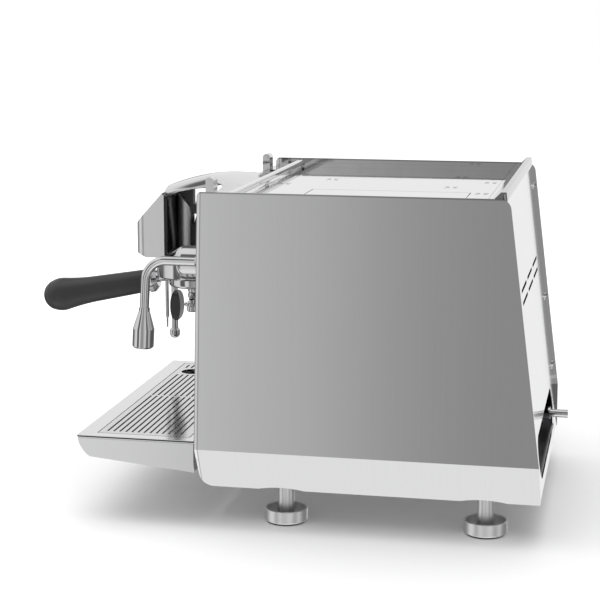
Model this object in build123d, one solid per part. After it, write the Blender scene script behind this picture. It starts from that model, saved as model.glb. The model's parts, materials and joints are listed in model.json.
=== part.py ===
from build123d import *
import math
import os

# Single-group espresso machine, in millimetres. X runs to the user's right, Y to the rear and Z up.
# Every outline below is laid out from the middle of the body's width, with the feet at Z = 0.

# ---- Body ----
body_width = 410.0         # over the two side panels
body_top = 390.0           # top edge of the side panels
crease_z = 95.0            # where a side panel folds in towards its foot
skirt_z = 45.0             # lowest edge of a side panel
skirt_inset = 27.0         # how far the skirt leans in at that edge
front_top_y = -183.0       # side panel's front edge, at the top
front_crease_y = -190.0    # ... and at the crease
rear_top_y = 162.0         # side panel's rear edge, at the top
rear_crease_y = 200.0      # ... and at the crease
rear_skirt_y = 201.5       # ... and at the foot of the skirt
front_corner_r = 5.0
rear_corner_r = 12.0
skirt_corner_r = 15.0
crease_corner_r = 2.0
foot_arch_r = 120.0        # shallow arch in the skirt above each foot
foot_arch_rise = 3.0
panel_t = 2.5
sheet_t = 1.5              # hood, cup tray, front and rear sheets
seat = 0.3                 # gap between two pieces that are mounted to each other
slip = 1.0                 # gap round a piece that is lifted or drawn out
rear_inset = 5.0           # rear sheet inside the side panels' rear edges
front_panel_y = -180.0     # outer face of the front panel
front_gap = 3.0            # front panel's top edge, below the hood
pan_z = 47.0               # underside of the base pan
pan_t = 2.0
pan_lip = 14.0
edge_clear = 1.0           # front and rear sheets, above the pan's underside

# ---- Frame ----
post_w = 14.0
post_inset = 44.0          # middle of a post, in from the body's side
post_front_y = -143.0
post_rear_y = 128.0
stay_z = 112.0             # lowest stay between a post and its side panel
shelf_z = 198.0            # top of the shelf that carries the water reservoir
rail_h = 12.0              # height of the frame's cross bars
shelf_stay_in = 30.0       # the shelf's stays, in from the hatch's ends

# ---- Top ----
tray_z = 378.0             # upper face of the cup tray
tray_rear_y = 134.0
rail_y = -148.5            # front rail, over the rear edge of the hood
rail_w = 8.0
rail_rise = 10.5           # top of the rail, above the cup tray
rail_bar_h = 7.0
rail_round = 2.2
rail_foot = (10.0, 5.0)    # width and depth of its low feet
rail_foot_in = 12.0        # the outer feet, in from the rail's ends
ridge_top = 397.0
ridge_w = 4.0
ridge_foot = 4.0
ridge_lip = 9.0            # how far the ridge closes down over the rear sheet
trim_h = 6.0               # trims above the cup tray
trim_w = 2.0
hatch_start_x = 50.0       # inner side of the hatch
hatch_inset = 40.0         # its outer side, in from the body's side
hatch_y = (-83.0, 105.0)
hatch_ledge = 5.0
hatch_rim = 4.0            # frame under the cup tray, round the hatch
hatch_frame_t = 2.0
finger_inset = 38.0        # middle of the finger hole, in from the lid's outer side
finger_hole = (34.0, 18.0)
vent_arm = 7.0             # length of one short slot of a vent cluster
vent_w = 2.2
vent_hub = 3.2             # from the middle of a cluster to the slots
vent_rows = ((-128.0, (0, -116)), (-79.0, (-58,)), (76.0, (0, -116)), (118.0, (-58, 58)))
hood_crest = (-228.0, 378.1)
hood_tip = (-268.6, 368.5)
hood_half = 52.0           # half width of the tongue over the group
hood_edge_y = -186.0       # front edge beside the tongue
hood_blend_r = 22.0
hood_corner_r = 4.0
hood_tip_r = 3.0

# ---- Group ----
group_y = -242.0           # vertical axis of the group
tongue_gap = 0.5           # between the hood's tip and the group cover
cover_half = 50.0
cover_wall = 3.0
cover_rear_y = -267.0
cover_corner_r = 13.0
nose_top = (-303.0, 331.0)
nose_low = (-304.0, 295.0)
cover_base = (-290.5, 289.6)
ring_r = 47.5
ring_z = 260.8             # lower edge of the bayonet ring
ring_top = 288.0
ring_bore_r = 34.0
gasket_top = 282.5
gasket_r = (29.6, 33.5)
screen_t = 0.8
screen_rim = 4.0
screen_rings = ((11.0, 6), (21.0, 12))   # radius and number of its holes
screen_hole_r = 1.8
groove_r = 39.0
groove_rise = (4.8, 11.9)  # floor and roof of the bayonet groove, above the ring's lower edge
lug_angle = 46.0           # entry gap for one ear
ear_angle = 34.0
unlock_angle = 42.0
feed_r = 3.0               # bore that feeds the diffuser
feed_wall = 2.7
ring_edge = 2.0
lug_lead = 0.8             # bevel that leads the ears in
column_y = -255.6          # upright pipe of the group, behind its black housing
column_r = 11.0
column_cut = (-255.6, 360.3)
column_cut_angle = 50.7
bracket_t = 4.0            # black stay behind the column
bracket_in = 6.0
neck_half = 14.0
neck_z = (288.3, 336.0)
neck_radii = [4.0, 4.0, 12.0, 12.0]
brew_z = 312.0             # brew water's way through the neck
brew_port_r = 5.5
flange_size = (76.0, 56.0)
flange_t = 5.7
flange_corner_r = 8.0
bolt_at = (32.0, 22.0)     # the flange's screws, from the middle of the flange
bolt_r = 4.0
bolt_h = 4.0
bolt_socket = 2.2

# ---- Portafilter ----
bowl_r = 33.0
bowl_z = (247.8, 272.8)
bowl_wall = 2.5
bowl_floor = 3.0
bowl_round = 4.5
basket_r = 29.8
basket_wall = 0.8
basket_lip = 1.0
basket_depth = 19.0
basket_lip_w = 2.4
basket_round = 2.5
handle_root = (-301.0, 252.7)
handle_droop = 10.8
handle_length = 142.0
handle_r = (14.0, 16.1, 20.3, 18.5)   # ferrule end, waist, belly and cap
handle_at = (0.0, 72.0, 112.0)        # where the first three are, from the root
handle_cap_depth = 13.0
ferrule_z = (-11.5, -0.3)  # the ferrule's ends, from the handle's root
ferrule_r = (10.0, 15.5)    # its slim end and its full end
arm_r = 4.2                # arm from the bowl to the handle
arm_in = 28.0
boss_r = 9.5
boss_h = 8.5
boss_edge = 1.5
outlet_bore_r = 3.5
spout_x = 18.0
spout_r = 4.6
spout_bore_r = 3.0
spout_bend_r2 = 8.0        # bend of its arms
spout_edge = 1.5
spout_end_z = 217.8
spout_collar_r = 9.6
spout_collar = (7.5, 12.2)  # the collar's lower and upper face, above the outlet

# ---- Wand, spout and levers ----
joint_inset = 47.0         # a ball joint's axis, in from the body's side
joint_z = 304.0
joint_y = -190.5           # centre of the ball
joint_nut_r = 14.0
joint_mouth = 4.5          # the nut's front face, ahead of the ball's centre
nut_crown = 7.0            # height of its domed front
nut_rim = 0.8
ball_r = 9.5
liner_t = 1.2
liner_ends = (67.0, 131.0)   # the liner's edges, by their angle from the joint's front
liner_cones = 4
wand_r = 4.4
wand_drop_y = -315.0
wand_bend_r = 34.0
wand_tip_z = 153.0
wand_tip_r = 6.8
wand_tip_round = (5.44, 3.06)
grip_z = 191.5
grip_half = (10.0, 7.2, 21.0)  # half sizes of the wand's grip
grip_offset = 3.5
probe_r = 2.4
probe_tip_r = 1.3
probe_offset = 10.5
probe_tip_z = 160.5
probe_step_z = 173.0       # where the probe's tip widens to its stem
probe_top_z = 250.0
clip_z = (236.0, 246.0)
clip_wall = 1.6
spout_tube_r = 5.4
spout_bend_r = 25.0
spout_drop = (-257.0, -262.5)  # the spout's tube at its bend and at its nozzle
nozzle_r = 12.5
nozzle_wall = 3.0
nozzle_edge = 2.0
nozzle_z = (201.0, 223.5, 248.5)
bonnet_inset = 36.0        # chrome bonnet of a tap, inboard of its ball joint
bonnet_z = 297.2
bonnet_r = 20.0
bonnet_front_y = -230.4
bonnet_round = 10.0
lever_inset = 60.0         # a lever, in from the body's side
lever_w = 18.0
lever_pivot = (-165.0, 345.0)
lever_face_y = -186.5
lever_depth = 9.5
lever_radii = [5.0, 5.0, 3.0, 3.0, 4.4, 4.4, 8.0]   # of its side outline, from the foot round the top
lever_neck = 10.0          # width of the arm on its pin
lever_top = 400.5
lever_slot_rear_y = -155.0
lever_slot_gap = 2.5
lever_foot = 7.0           # the arm round its pin
tap_depth = 27.0           # body of a tap, behind the front panel
tap_half = 13.0
tap_stem_r = 7.5
tap_flange = (11.0, 5.0)   # radius and thickness of the flange behind the panel
pivot_r = 4.0
cheek_t = 3.0              # cheeks of a lever's bracket
cheek_gap = 1.0
bracket_drop = 17.0
run_fit = 0.05             # radial running fit of pins

# ---- Drip tray ----
drip_inset = 3.5           # tray's side, in from the body's side
drip_front_y = -330.5
drip_rear_y = -191.5
drip_z = 104.0             # rim
drip_front_drop = 25.0     # height of the curved front
drip_front_bulge = (5.2, 9.6)   # a point of that curve, from its lower front corner
drip_knee = 14.5
drip_bottom_rear_z = 66.7
drip_wall = 1.6
drip_side_wall = 3.0
groove_depth = 2.0         # shadow groove under the rim
groove_h = (2.2, 4.0)
rim_t = 6.0                # thickness of the rim
grate_rim = 14.5           # rim of the tray beside the grate
grate_y = (-309.5, -200.0)
grate_t = 3.0
grate_border = 9.0         # plain border of the grate at the ends of its slots
grate_support = 4.0
slot_pitch = 7.35
slot_w = 2.4
slot_web = 1.8             # half of the bar down the grate's middle
slot_margin = 8.5          # first row of slots, from the grate's front edge
purge_inset = 18.0         # the purge hole, inboard of the wand's joint
purge_y = -286.0
purge_r = 15.0
purge_land = 5.0
runner_x = 60.0            # the arms that carry the tray, from the middle
runner_w = 16.0
runner_z = (56.0, 66.0)
rib_w = 6.0
rib_in = 30.0              # a rib's front end, from the tray's front
runner_in = 34.0           # a runner's front end, from the tray's front
runner_foot = (6.0, 29.0)  # the runner's foot on the pan, behind the front panel

# ---- Rear ----
louvre_rows = 2            # rows of ventilation slots
louvre_margin = 50.0       # plain rear sheet beside them
louvre_size = (74.0, 4.0)
louvre_pitch = (92.0, 14.0)
louvre_z = 263.0
service_z = 84.0
service_half = 140.0
service_h = 50.0
service_depth = 16.0       # recess of the plate that carries the inlets
service_rim = 8.0
inlet_x = -90.0
inlet_thread_r = 8.0
inlet_r = 5.0
inlet_bore_r = 3.2
inlet_reach = 22.0
inlet_hex = (11.5, 8.0)
inlet_thread = (14.0, 16.0)    # thread behind and ahead of the plate
power_x = 95.0
power_body = (27.4, 19.4)
power_round = 2.0
power_flange = (34.0, 26.0)
power_socket = (23.0, 15.0)
power_flange_t = 2.7
power_depth = (22.0, 14.0)     # housing and socket, behind the plate
blade = (2.0, 6.0)
blade_at = ((-7.0, -2.0), (0.0, 2.0), (7.0, -2.0))
screw_z = (360.0, 214.0, 122.0)
screw_inset = 14.0
screw_r = 3.6
screw_h = 2.3

# ---- Mains switch ----
switch_inset = 40.0        # the switch, in from the body's side
switch_z = 140.0
switch_throw = 6.0         # tilt to either side
rocker_half = (5.5, 9.4)
switch_hole = (11.4, 19.8)
switch_neck = (12.6, 20.6)
switch_rim = (19.0, 27.0)
switch_round = 3.0
switch_pin_r = 1.5
switch_rise = 3.0
switch_pin_y = 1.0         # the rocker's pin, behind the front panel's face
switch_depth = 12.0

# ---- Brew buttons ----
button_xs = (-14.0, 14.0)
button_z = 313.0
button_r = 7.0
button_h = 8.5
button_proud = 1.2
button_gap = 0.4
button_travel = 1.5
button_edge = 1.0

# ---- Inside ----
tank_gap = 3.0             # reservoir, inside the hatch's ledge
tank_wall = 2.5
tank_corner_r = 12.0
boiler_inset = 117.0       # the steam boiler's axis, in from the body's left side
boiler_y = (-60.0, 118.0)
boiler_z = 258.0
boiler_r = 68.0
boiler_dome = 16.0
heater_r = 24.0
outlet_r = 9.0
outlet_rise = 12.0
steam_outlet = (0.0, 20.0)     # from the boiler's axis, and along the machine
hot_outlet = (28.0, -20.0)
brew_boiler_r = 34.0
brew_boiler_z = 300.0
brew_boiler_rear_y = -88.0
brew_boiler_edge = 6.0
pump_inset = 100.0         # the pump's axis, in from the body's right side
motor_r = 42.0
motor_y = (-20.0, 95.0)
motor_foot_h = 10.0
motor_fins = 14
fin_h = 3.0
pump_r = 26.0
pump_front_y = -66.0
port_z = 101.0
pump_port = 40.0           # the ports' ends, from the pump's axis
valve_y = 31.0
valve_offset = 2.0         # middle coil of the valve block, outboard of the boiler's axis
valve_pitch = 26.0
valve_size = (80.0, 50.0, 29.0)
coil_r = 11.0
coil_h = 36.0
pipe_r = 3.0
pipe_gap = 9.0             # a pipe's middle, from what it passes
pipe_rise = 13.0           # the boiler's pipes, above its outlets
pipe_turn_y = (-100.0, -115.0)   # where they turn towards the taps
box_gap = (10.0, 21.0)     # housing of the electronics, from the boiler and from the motor
box_y = (10.0, 118.0)
box_top = 320.0
box_corner_r = 4.0

# ---- Feet ----
foot_inset = 55.0          # a foot, in from the body's side
foot_y = (-94.0, 138.0)
foot_r = 25.0
foot_h = 17.0
foot_wall = 2.5
foot_floor = 1.5
foot_edge = 1.5
stem_r = 9.5
pad_t = 2.0
pad_r = 23.0

# ---- Derived ----
half = body_width / 2
inner = half - panel_t - seat
rear_slope = (rear_crease_y - rear_top_y) / (body_top - crease_z)
skirt_slope = skirt_inset / (crease_z - skirt_z)
lip_top = bowl_z[1] + basket_lip       # top of the basket's lip in the locked portafilter
screen_z = lip_top + sheet_t           # underside of the shower screen
groove_z = (ring_z + groove_rise[0], ring_z + groove_rise[1])
floor_z = pan_z + pan_t
frame_top = tray_z - sheet_t - hatch_frame_t
rail_top = tray_z + rail_rise
tray_front_y = rail_y + rail_w / 2     # seam of the hood and the cup tray
tray_end_y = tray_rear_y - ridge_foot  # seam of the cup tray and the rear ridge
tray_half = inner - trim_w - seat
post_x = half - post_inset
foot_x = half - foot_inset
joint_x = half - joint_inset
lever_x = half - lever_inset
switch_x = half - switch_inset
bonnet_x = joint_x - bonnet_inset
boiler_x = boiler_inset - half
pump_x = half - pump_inset
box_x = (boiler_x + boiler_r + box_gap[0], pump_x - motor_r - box_gap[1])
valve_x = boiler_x - valve_offset
hatch_x = (hatch_start_x, half - hatch_inset)
drip_half = half - drip_inset
grate_half = drip_half - grate_rim
slot_half = grate_half - grate_border
handle_cap_r = handle_r[3]
spout_lean = (spout_drop[0] - spout_drop[1]) / (joint_z - nozzle_z[0])
through = 3 * (body_width + body_top)  # length of a cut that runs right through


def rear_y(z):
    """Outer face of the rear sheet at a height."""
    return rear_top_y + (body_top - z) * rear_slope - rear_inset


def skirt_x(z):
    """Inner limit of what stands between the side panels, at a height."""
    lean = max(0.0, crease_z - z) * skirt_slope
    return half - lean - panel_t * math.hypot(1, skirt_slope) - seat


def circle_through(a, b, c):
    """Centre and radius of the circle through three points."""
    d = 2 * (a[0] * (b[1] - c[1]) + b[0] * (c[1] - a[1]) + c[0] * (a[1] - b[1]))
    sa, sb, sc = (p[0] ** 2 + p[1] ** 2 for p in (a, b, c))
    u = (sa * (b[1] - c[1]) + sb * (c[1] - a[1]) + sc * (a[1] - b[1])) / d
    v = (sa * (c[0] - b[0]) + sb * (a[0] - c[0]) + sc * (b[0] - a[0])) / d
    return u, v, math.hypot(a[0] - u, a[1] - v)


hood_rear = (tray_front_y, tray_z)
hood_cy, hood_cz, hood_r = circle_through(hood_rear, hood_crest, hood_tip)


def hood_z(y):
    """Upper face of the hood at a depth."""
    return hood_cz + math.sqrt(hood_r ** 2 - (y - hood_cy) ** 2)


# ---- Shapes that are used more than once ----
def block(x, y, z):
    """A box between two limits on each axis."""
    size = [b - a for a, b in (x, y, z)]
    middle = [(a + b) / 2 for a, b in (x, y, z)]
    return Pos(*middle) * Box(*size)


def outline(points, radii=0):
    """A closed flat outline, each corner rounded by its radius."""
    if radii == 0:
        return make_face(Polyline(*points, close=True))
    return make_face(FilletPolyline(*points, radius=radii, close=True))


def across(face, x1, x2):
    """An outline drawn in Y and Z, pulled out from x1 to x2."""
    return extrude(Plane.YZ.offset(x1) * face, x2 - x1)


def upward(face, z1, z2):
    """An outline drawn in X and Y, pulled up from z1 to z2."""
    return extrude(Plane.XY.offset(z1) * face, z2 - z1)


def rearward(face, y1, y2):
    """An outline drawn in X and Z, pulled back from y1 to y2."""
    return extrude(Plane((0, y1, 0), x_dir=(1, 0, 0), z_dir=(0, -1, 0)) * face, y1 - y2)


def through_y(face):
    """An outline drawn in X and Z, run right through the machine."""
    return rearward(face, -through, through)


def through_z(face):
    """An outline drawn in X and Y, run right through the machine."""
    return upward(face, -through, through)


def folded(points, t):
    """The section of a folded sheet: a path and its copy at one thickness to the left."""
    inside = []
    for i, p in enumerate(points):
        before = points[max(i - 1, 0)]
        after = points[min(i + 1, len(points) - 1)]
        turns = []
        for a, b in ((before, p), (p, after)):
            length = math.dist(a, b)
            if length > 0:
                turns.append(((a[1] - b[1]) / length, (b[0] - a[0]) / length))
        nx = sum(n[0] for n in turns) / len(turns)
        ny = sum(n[1] for n in turns) / len(turns)
        scale = t / (nx * nx + ny * ny)
        inside.append((p[0] + nx * scale, p[1] + ny * scale))
    return outline(list(points) + inside[::-1])


def turned(points, axis_at=(0, 0), radii=0):
    """A solid of revolution about a vertical axis, from radii and heights."""
    section = Plane.XZ * outline(points, radii)
    return Pos(axis_at[0], axis_at[1], 0) * revolve(section, Axis.Z)


def tube(points, bend, radius, bore=0):
    """A round tube along straight runs joined by arcs."""
    path = FilletPolyline(*points, radius=bend) if len(points) > 2 else Polyline(*points)
    section = Circle(radius) - Circle(bore) if bore else Circle(radius)
    start = Plane(path @ 0, z_dir=path % 0)
    return sweep(start * section, path)


def both_sides(shape):
    """A shape and its mirror image on the other side of the machine."""
    return shape + mirror(shape, Plane.YZ)


def between_panels(z1, z2, y1, y2):
    """Everything between the side panels from z1 to z2, following the skirts' lean."""
    points = [(skirt_x(z1), z1), (skirt_x(crease_z), crease_z), (inner, z2)]
    if z1 >= crease_z:
        points = [(inner, z1), (inner, z2)]
    mirrored = [(-x, z) for x, z in reversed(points)]
    return rearward(outline(points + mirrored), y1, y2)


def holes_at(shape, places, cut):
    """A shape with one cut repeated at several places."""
    for place in places:
        shape -= Pos(*place) * cut
    return shape


# ---- Casings ----
def side_panel(side):
    """Folded side panel: flat above the crease, leaning in below it, arched above the feet."""
    section = folded([(half, body_top), (half, crease_z), (half - skirt_inset, skirt_z)], -panel_t)
    sheet = through_y(section)
    corners = [(front_top_y, body_top), (rear_top_y, body_top), (rear_crease_y, crease_z),
               (rear_skirt_y, skirt_z), (front_crease_y + crease_corner_r, skirt_z), (front_crease_y, crease_z)]
    radii = [front_corner_r, rear_corner_r, crease_corner_r, crease_corner_r, skirt_corner_r, crease_corner_r]
    shape = sheet & across(outline(corners, radii), 0, through)
    for y in foot_y:
        arch = Pos(half - skirt_inset, y, skirt_z + foot_arch_rise - foot_arch_r) * Rot(0, 90, 0)
        shape -= arch * Cylinder(foot_arch_r, skirt_inset)
    return shape if side > 0 else mirror(shape, Plane.YZ)


def base_pan():
    """Folded pan that closes the machine below and carries the feet and the frame."""
    front = front_panel_y + sheet_t + seat
    rear = rear_y(pan_z + pan_lip) - sheet_t - seat
    width = skirt_x(pan_z)
    pan = block((-width, width), (front, rear), (pan_z, pan_z + pan_lip))
    pan -= block((-width + pan_t, width - pan_t), (front + pan_t, rear - pan_t), (floor_z, through))
    notch = runner_w / 2 + seat
    for x in (-runner_x, runner_x):
        pan -= block((x - notch, x + notch), (front - seat, front + pan_t + seat), (floor_z, through))
    return pan


def chassis_frame():
    """Welded bars: four posts, a ring under the cup tray and stays that hold the side panels."""
    w = post_w / 2
    ring = frame_top - rail_h
    shelf = (shelf_z - rail_h, shelf_z)
    shelf_x = hatch_x[0] + post_w
    bars = []
    for x in (-post_x, post_x):
        reach = sorted((x, math.copysign(inner, x)))
        for y in (post_front_y, post_rear_y):
            bars.append(block((x - w, x + w), (y - w, y + w), (floor_z + seat, frame_top)))
            for z in (ring, shelf[0], stay_z):
                bars.append(block(reach, (y - w, y + w), (z, z + rail_h)))
        bars.append(block((x - w, x + w), (post_front_y, post_rear_y), (ring, frame_top)))
    for y in (post_front_y, post_rear_y):
        bars.append(block((-post_x, post_x), (y - w, y + w), (ring, frame_top)))
        bars.append(block((-post_x, post_x), (y - w, y + w), shelf))
    for y in (hatch_y[0] + shelf_stay_in, hatch_y[1] - shelf_stay_in):
        bars.append(block((shelf_x - w, post_x), (y - w, y + w), shelf))
    bars.append(block((shelf_x - w, shelf_x + w), (post_front_y, post_rear_y), shelf))
    frame = bars[0]
    for bar in bars[1:]:
        frame += bar
    return frame


def vent_cluster(x, y):
    """Four short slots set crosswise round a plain middle."""
    slot = Pos(vent_hub + vent_arm / 2, 0) * Rectangle(vent_arm, vent_w)
    return [Pos(x, y) * Rot(0, 0, turn) * slot for turn in (45, 135, 225, 315)]


def cup_tray():
    """Top sheet with drain clusters, and the opening of the reservoir's hatch with its ledge."""
    (x1, x2), (y1, y2) = hatch_x, hatch_y
    rim, ledge = hatch_rim, hatch_ledge
    tray = block((-tray_half, tray_half), (tray_front_y + seat, tray_end_y - seat), (tray_z - sheet_t, tray_z))
    tray += block((x1 - rim, x2 + rim), (y1 - rim, y2 + rim), (frame_top + seat, tray_z - sheet_t))
    tray -= block(hatch_x, hatch_y, (tray_z - sheet_t, through))
    tray -= block((x1 + ledge, x2 - ledge), (y1 + ledge, y2 - ledge), (0, through))
    for y, xs in vent_rows:
        for x in xs:
            for slot in vent_cluster(x, y):
                tray -= through_z(slot)
    return tray


def hatch_lid():
    """Flush lid over the reservoir, with a finger hole."""
    lid = block((hatch_x[0] + slip, hatch_x[1] - slip), (hatch_y[0] + slip, hatch_y[1] - slip),
                (tray_z - sheet_t + seat, tray_z))
    grip = Pos(hatch_x[1] - finger_inset, sum(hatch_y) / 2) * SlotOverall(*finger_hole, rotation=90)
    return lid - through_z(grip)


def hood():
    """Curved sheet over the front: full width at the rear, a tongue over the group ahead."""
    above = [hood_rear, hood_crest, hood_tip]
    below = [(y, z - sheet_t) for y, z in above]
    edges = [ThreePointArc(*above), ThreePointArc(*below), Line(above[0], below[0]), Line(above[2], below[2])]
    sheet = across(make_face(edges), -inner, inner)
    rear, tip = tray_front_y + 1, hood_tip[0] - 1
    plan = [(-inner, rear), (-inner, hood_edge_y), (-hood_half, hood_edge_y), (-hood_half, tip),
            (hood_half, tip), (hood_half, hood_edge_y), (inner, hood_edge_y), (inner, rear)]
    radii = [0, hood_corner_r, hood_blend_r, hood_tip_r, hood_tip_r, hood_blend_r, hood_corner_r, 0]
    sheet &= through_z(outline(plan, radii))
    return sheet - lever_slots()


def lever_slots():
    """Slots that both levers swing through, open at the hood's front edge."""
    w = lever_w / 2 + lever_slot_gap
    rear = lever_slot_rear_y - w
    cut = upward(Pos(lever_x, rear) * Circle(w), lever_pivot[1], through)
    cut += block((lever_x - w, lever_x + w), (-through, rear), (lever_pivot[1], through))
    return both_sides(cut)


def front_rail():
    """Rounded bar across the top, on three low feet."""
    y, end = rail_y, inner - seat
    low = rail_top - rail_bar_h
    foot_w, foot_d = rail_foot
    standing = hood_z(y - foot_d / 2) + seat
    bar = across(Pos(y, (low + rail_top) / 2) * RectangleRounded(rail_w, rail_bar_h, rail_round), -end, end)
    for x in (-end + rail_foot_in, 0, end - rail_foot_in):
        bar += block((x - foot_w / 2, x + foot_w / 2), (y - foot_d / 2, y + foot_d / 2), (standing, low + 1))
    return bar


def tray_trims():
    """Narrow strips that close the joints of the cup tray and the side panels."""
    return both_sides(block((inner - trim_w, inner), (tray_front_y + seat, tray_end_y - seat),
                            (tray_z - sheet_t, tray_z + trim_h)))


def rear_panel():
    """Leaning rear sheet with ventilation slots and the service opening at its foot."""
    low, high = pan_z + edge_clear, ridge_top - sheet_t - seat
    section = outline([(rear_y(low), low), (rear_y(high), high),
                       (rear_y(high) - sheet_t, high), (rear_y(low) - sheet_t, low)])
    sheet = across(section, -inner, inner) & between_panels(low, high, 0, through)
    columns = int(2 * (inner - louvre_margin) // louvre_pitch[0])
    for row in range(louvre_rows):
        for column in range(columns):
            x = (column - (columns - 1) / 2) * louvre_pitch[0]
            sheet -= through_y(Pos(x, louvre_z + row * louvre_pitch[1]) * Rectangle(*louvre_size))
    return sheet - through_y(Pos(0, service_z) * SlotOverall(2 * service_half, service_h))


def service_plate():
    """Recessed plate behind the service opening, for the inlets."""
    y = rear_y(service_z) - service_depth
    width = service_half + service_rim
    plate = block((-width, width), (y - sheet_t, y), (floor_z + seat, service_z + service_h / 2 + service_rim))
    plate -= through_y(Pos(inlet_x, service_z) * Circle(inlet_thread_r + seat))
    hole = [size + 2 * seat for size in power_body]
    return plate - through_y(Pos(power_x, service_z) * RectangleRounded(*hole, power_round))


def water_inlet():
    """Threaded water connection with its hexagon and nipple."""
    y = rear_y(service_z) - service_depth
    end = rear_y(service_z) + inlet_reach
    size, height = inlet_hex
    behind, ahead = inlet_thread
    shape = rearward(Circle(inlet_thread_r), y - behind, y + ahead)
    shape += rearward(RegularPolygon(size, 6), y + seat, y + height)
    shape += rearward(Circle(inlet_r), y + ahead, end)
    return Pos(inlet_x, 0, service_z) * (shape - through_y(Circle(inlet_bore_r)))


def power_inlet():
    """Appliance inlet for a plug-in mains cord, with its three blades."""
    y = rear_y(service_z) - service_depth
    deep, socket = power_depth
    shape = rearward(RectangleRounded(*power_body, power_round), y - deep, y + seat)
    shape += rearward(RectangleRounded(*power_flange, 2 * power_round), y + seat, y + seat + power_flange_t)
    shape -= rearward(RectangleRounded(*power_socket, power_round), y - socket, through)
    for place in blade_at:
        shape += rearward(Pos(*place) * Rectangle(*blade), y - socket - 1, y - 1)
    return Pos(power_x, 0, service_z) * shape


def rear_ridge():
    """Folded cap that rises behind the cups and closes over the rear sheet."""
    out = rear_y(ridge_top) + seat
    low, top = tray_z - sheet_t, ridge_top - sheet_t
    path = [(tray_end_y, low), (tray_rear_y, low), (out - ridge_w, top), (out, top),
            (out + ridge_lip * rear_slope, top - ridge_lip)]
    inside = rear_y(top) - sheet_t - seat
    end = outline([(tray_rear_y, low), (out - ridge_w, top), (inside, top), (inside, low)])
    return across(folded(path, sheet_t), -inner, inner) + both_sides(across(end, inner - sheet_t, inner))


def front_panel():
    """Front sheet, with the ways for the levers, the joints, the taps, the tray's runners and the switch."""
    low, high = pan_z + edge_clear, hood_z(front_panel_y) - sheet_t - front_gap
    sheet = between_panels(low, high, front_panel_y, front_panel_y + sheet_t)
    sheet -= lever_slots()
    ways = [Pos(switch_x, switch_z) * Rectangle(*[size + 2 * seat for size in switch_neck]),
            Pos(0, brew_z) * Circle(brew_port_r + seat)]
    for side in (-1, 1):
        ways.append(Pos(side * joint_x, joint_z) * Circle(tap_stem_r + seat))
        ways.append(Pos(side * bonnet_x, bonnet_z) * Circle(tap_stem_r + seat))
        ways.append(Pos(side * runner_x, (low + runner_z[1]) / 2)
                    * Rectangle(runner_w + 2 * seat, runner_z[1] - low + 2 * seat))
    for way in ways:
        sheet -= through_y(way)
    return sheet


# ---- Group ----
def cover_section(inset, open_rear):
    """Side outline of the group cover, moved in by an inset, open to the rear if asked."""
    rear = cover_rear_y + (cover_half if open_rear else 0)
    top_y = hood_tip[0] - tongue_gap
    under = hood_tip[1] - sheet_t - tongue_gap
    corners = [(rear, cover_base[1]), cover_base, nose_low, nose_top, (top_y, hood_tip[1]), (top_y, under),
               (rear, under)]
    face = outline(corners)
    return offset(face, -inset, kind=Kind.INTERSECTION) if inset else face


def cover_body(inset, open_rear=False):
    """The cover's form: its side outline cut by a plan with round front corners."""
    x = cover_half - inset
    side = across(cover_section(inset, open_rear), -x, x)
    front, rear = nose_low[0] + inset, 0
    r = cover_corner_r - inset
    plan = outline([(-x, front), (x, front), (x, rear), (-x, rear)], [r, r, 0, 0])
    return side & through_z(plan)


def group_cover():
    """Faceted head over the group, open to the rear, with the two button holes."""
    shell = cover_body(0) - cover_body(cover_wall, True)
    hole = through_y(Circle(button_r + button_gap))
    return holes_at(shell, [(x, 0, button_z) for x in button_xs], hole)


def group_core():
    """Black housing that fills the cover and holds the brew switches."""
    core = cover_body(cover_wall + seat)
    core &= block((-through, through), (-through, cover_rear_y - tongue_gap), (0, through))
    hole = rearward(Circle(button_r + button_gap), nose_low[0], nose_low[0] + button_h + 2 * button_travel)
    return holes_at(core, [(x, 0, button_z) for x in button_xs], hole)


def brew_button(x):
    """Round push button in the nose."""
    cap = rearward(Pos(x, button_z) * Circle(button_r), nose_low[0] - button_proud, nose_low[0] + button_h)
    return chamfer(cap.faces().sort_by(Axis.Y)[0].edges(), button_edge)


def group_ring():
    """Bayonet ring: a lip with two entry gaps, the groove above it and the gasket's seat."""
    at = (0, group_y)
    low, high = groove_z
    edge, feed = ring_edge, feed_r + feed_wall
    seat_r = gasket_r[1] + seat
    ring = turned([(groove_r, ring_z), (ring_r - edge, ring_z), (ring_r, ring_z + edge),
                   (ring_r, ring_top - edge), (ring_r - edge, ring_top), (feed, ring_top), (feed, gasket_top),
                   (seat_r, gasket_top), (seat_r, high), (groove_r, high)], at)
    lead = lug_lead
    lip = turned([(ring_bore_r, ring_z + lead), (ring_bore_r + lead, ring_z), (groove_r + lead, ring_z),
                  (groove_r + lead, low), (ring_bore_r, low)], at)
    for turn in (-unlock_angle, 180 - unlock_angle):
        lip -= sector(groove_r, lug_angle, turn, ring_z - lead, low + lead)
    return ring + lip


def sector(radius, width, turn, z1, z2):
    """A pie piece about the group's axis, centred on a direction from +X."""
    a1, a2 = math.radians(turn - width / 2), math.radians(turn + width / 2)
    am = math.radians(turn)
    p1 = (radius * math.cos(a1), radius * math.sin(a1))
    pm = (radius * math.cos(am), radius * math.sin(am))
    p2 = (radius * math.cos(a2), radius * math.sin(a2))
    face = make_face([Line((0, 0), p1), ThreePointArc(p1, pm, p2), Line(p2, (0, 0))])
    return Pos(0, group_y, 0) * upward(face, z1, z2)


def group_gasket():
    """Rubber ring that the basket's lip is pressed against."""
    (r1, r2), z1, z2 = gasket_r, lip_top + seat, gasket_top - seat
    return turned([(r1, z1), (r2, z1), (r2, z2), (r1, z2)], (0, group_y))


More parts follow.
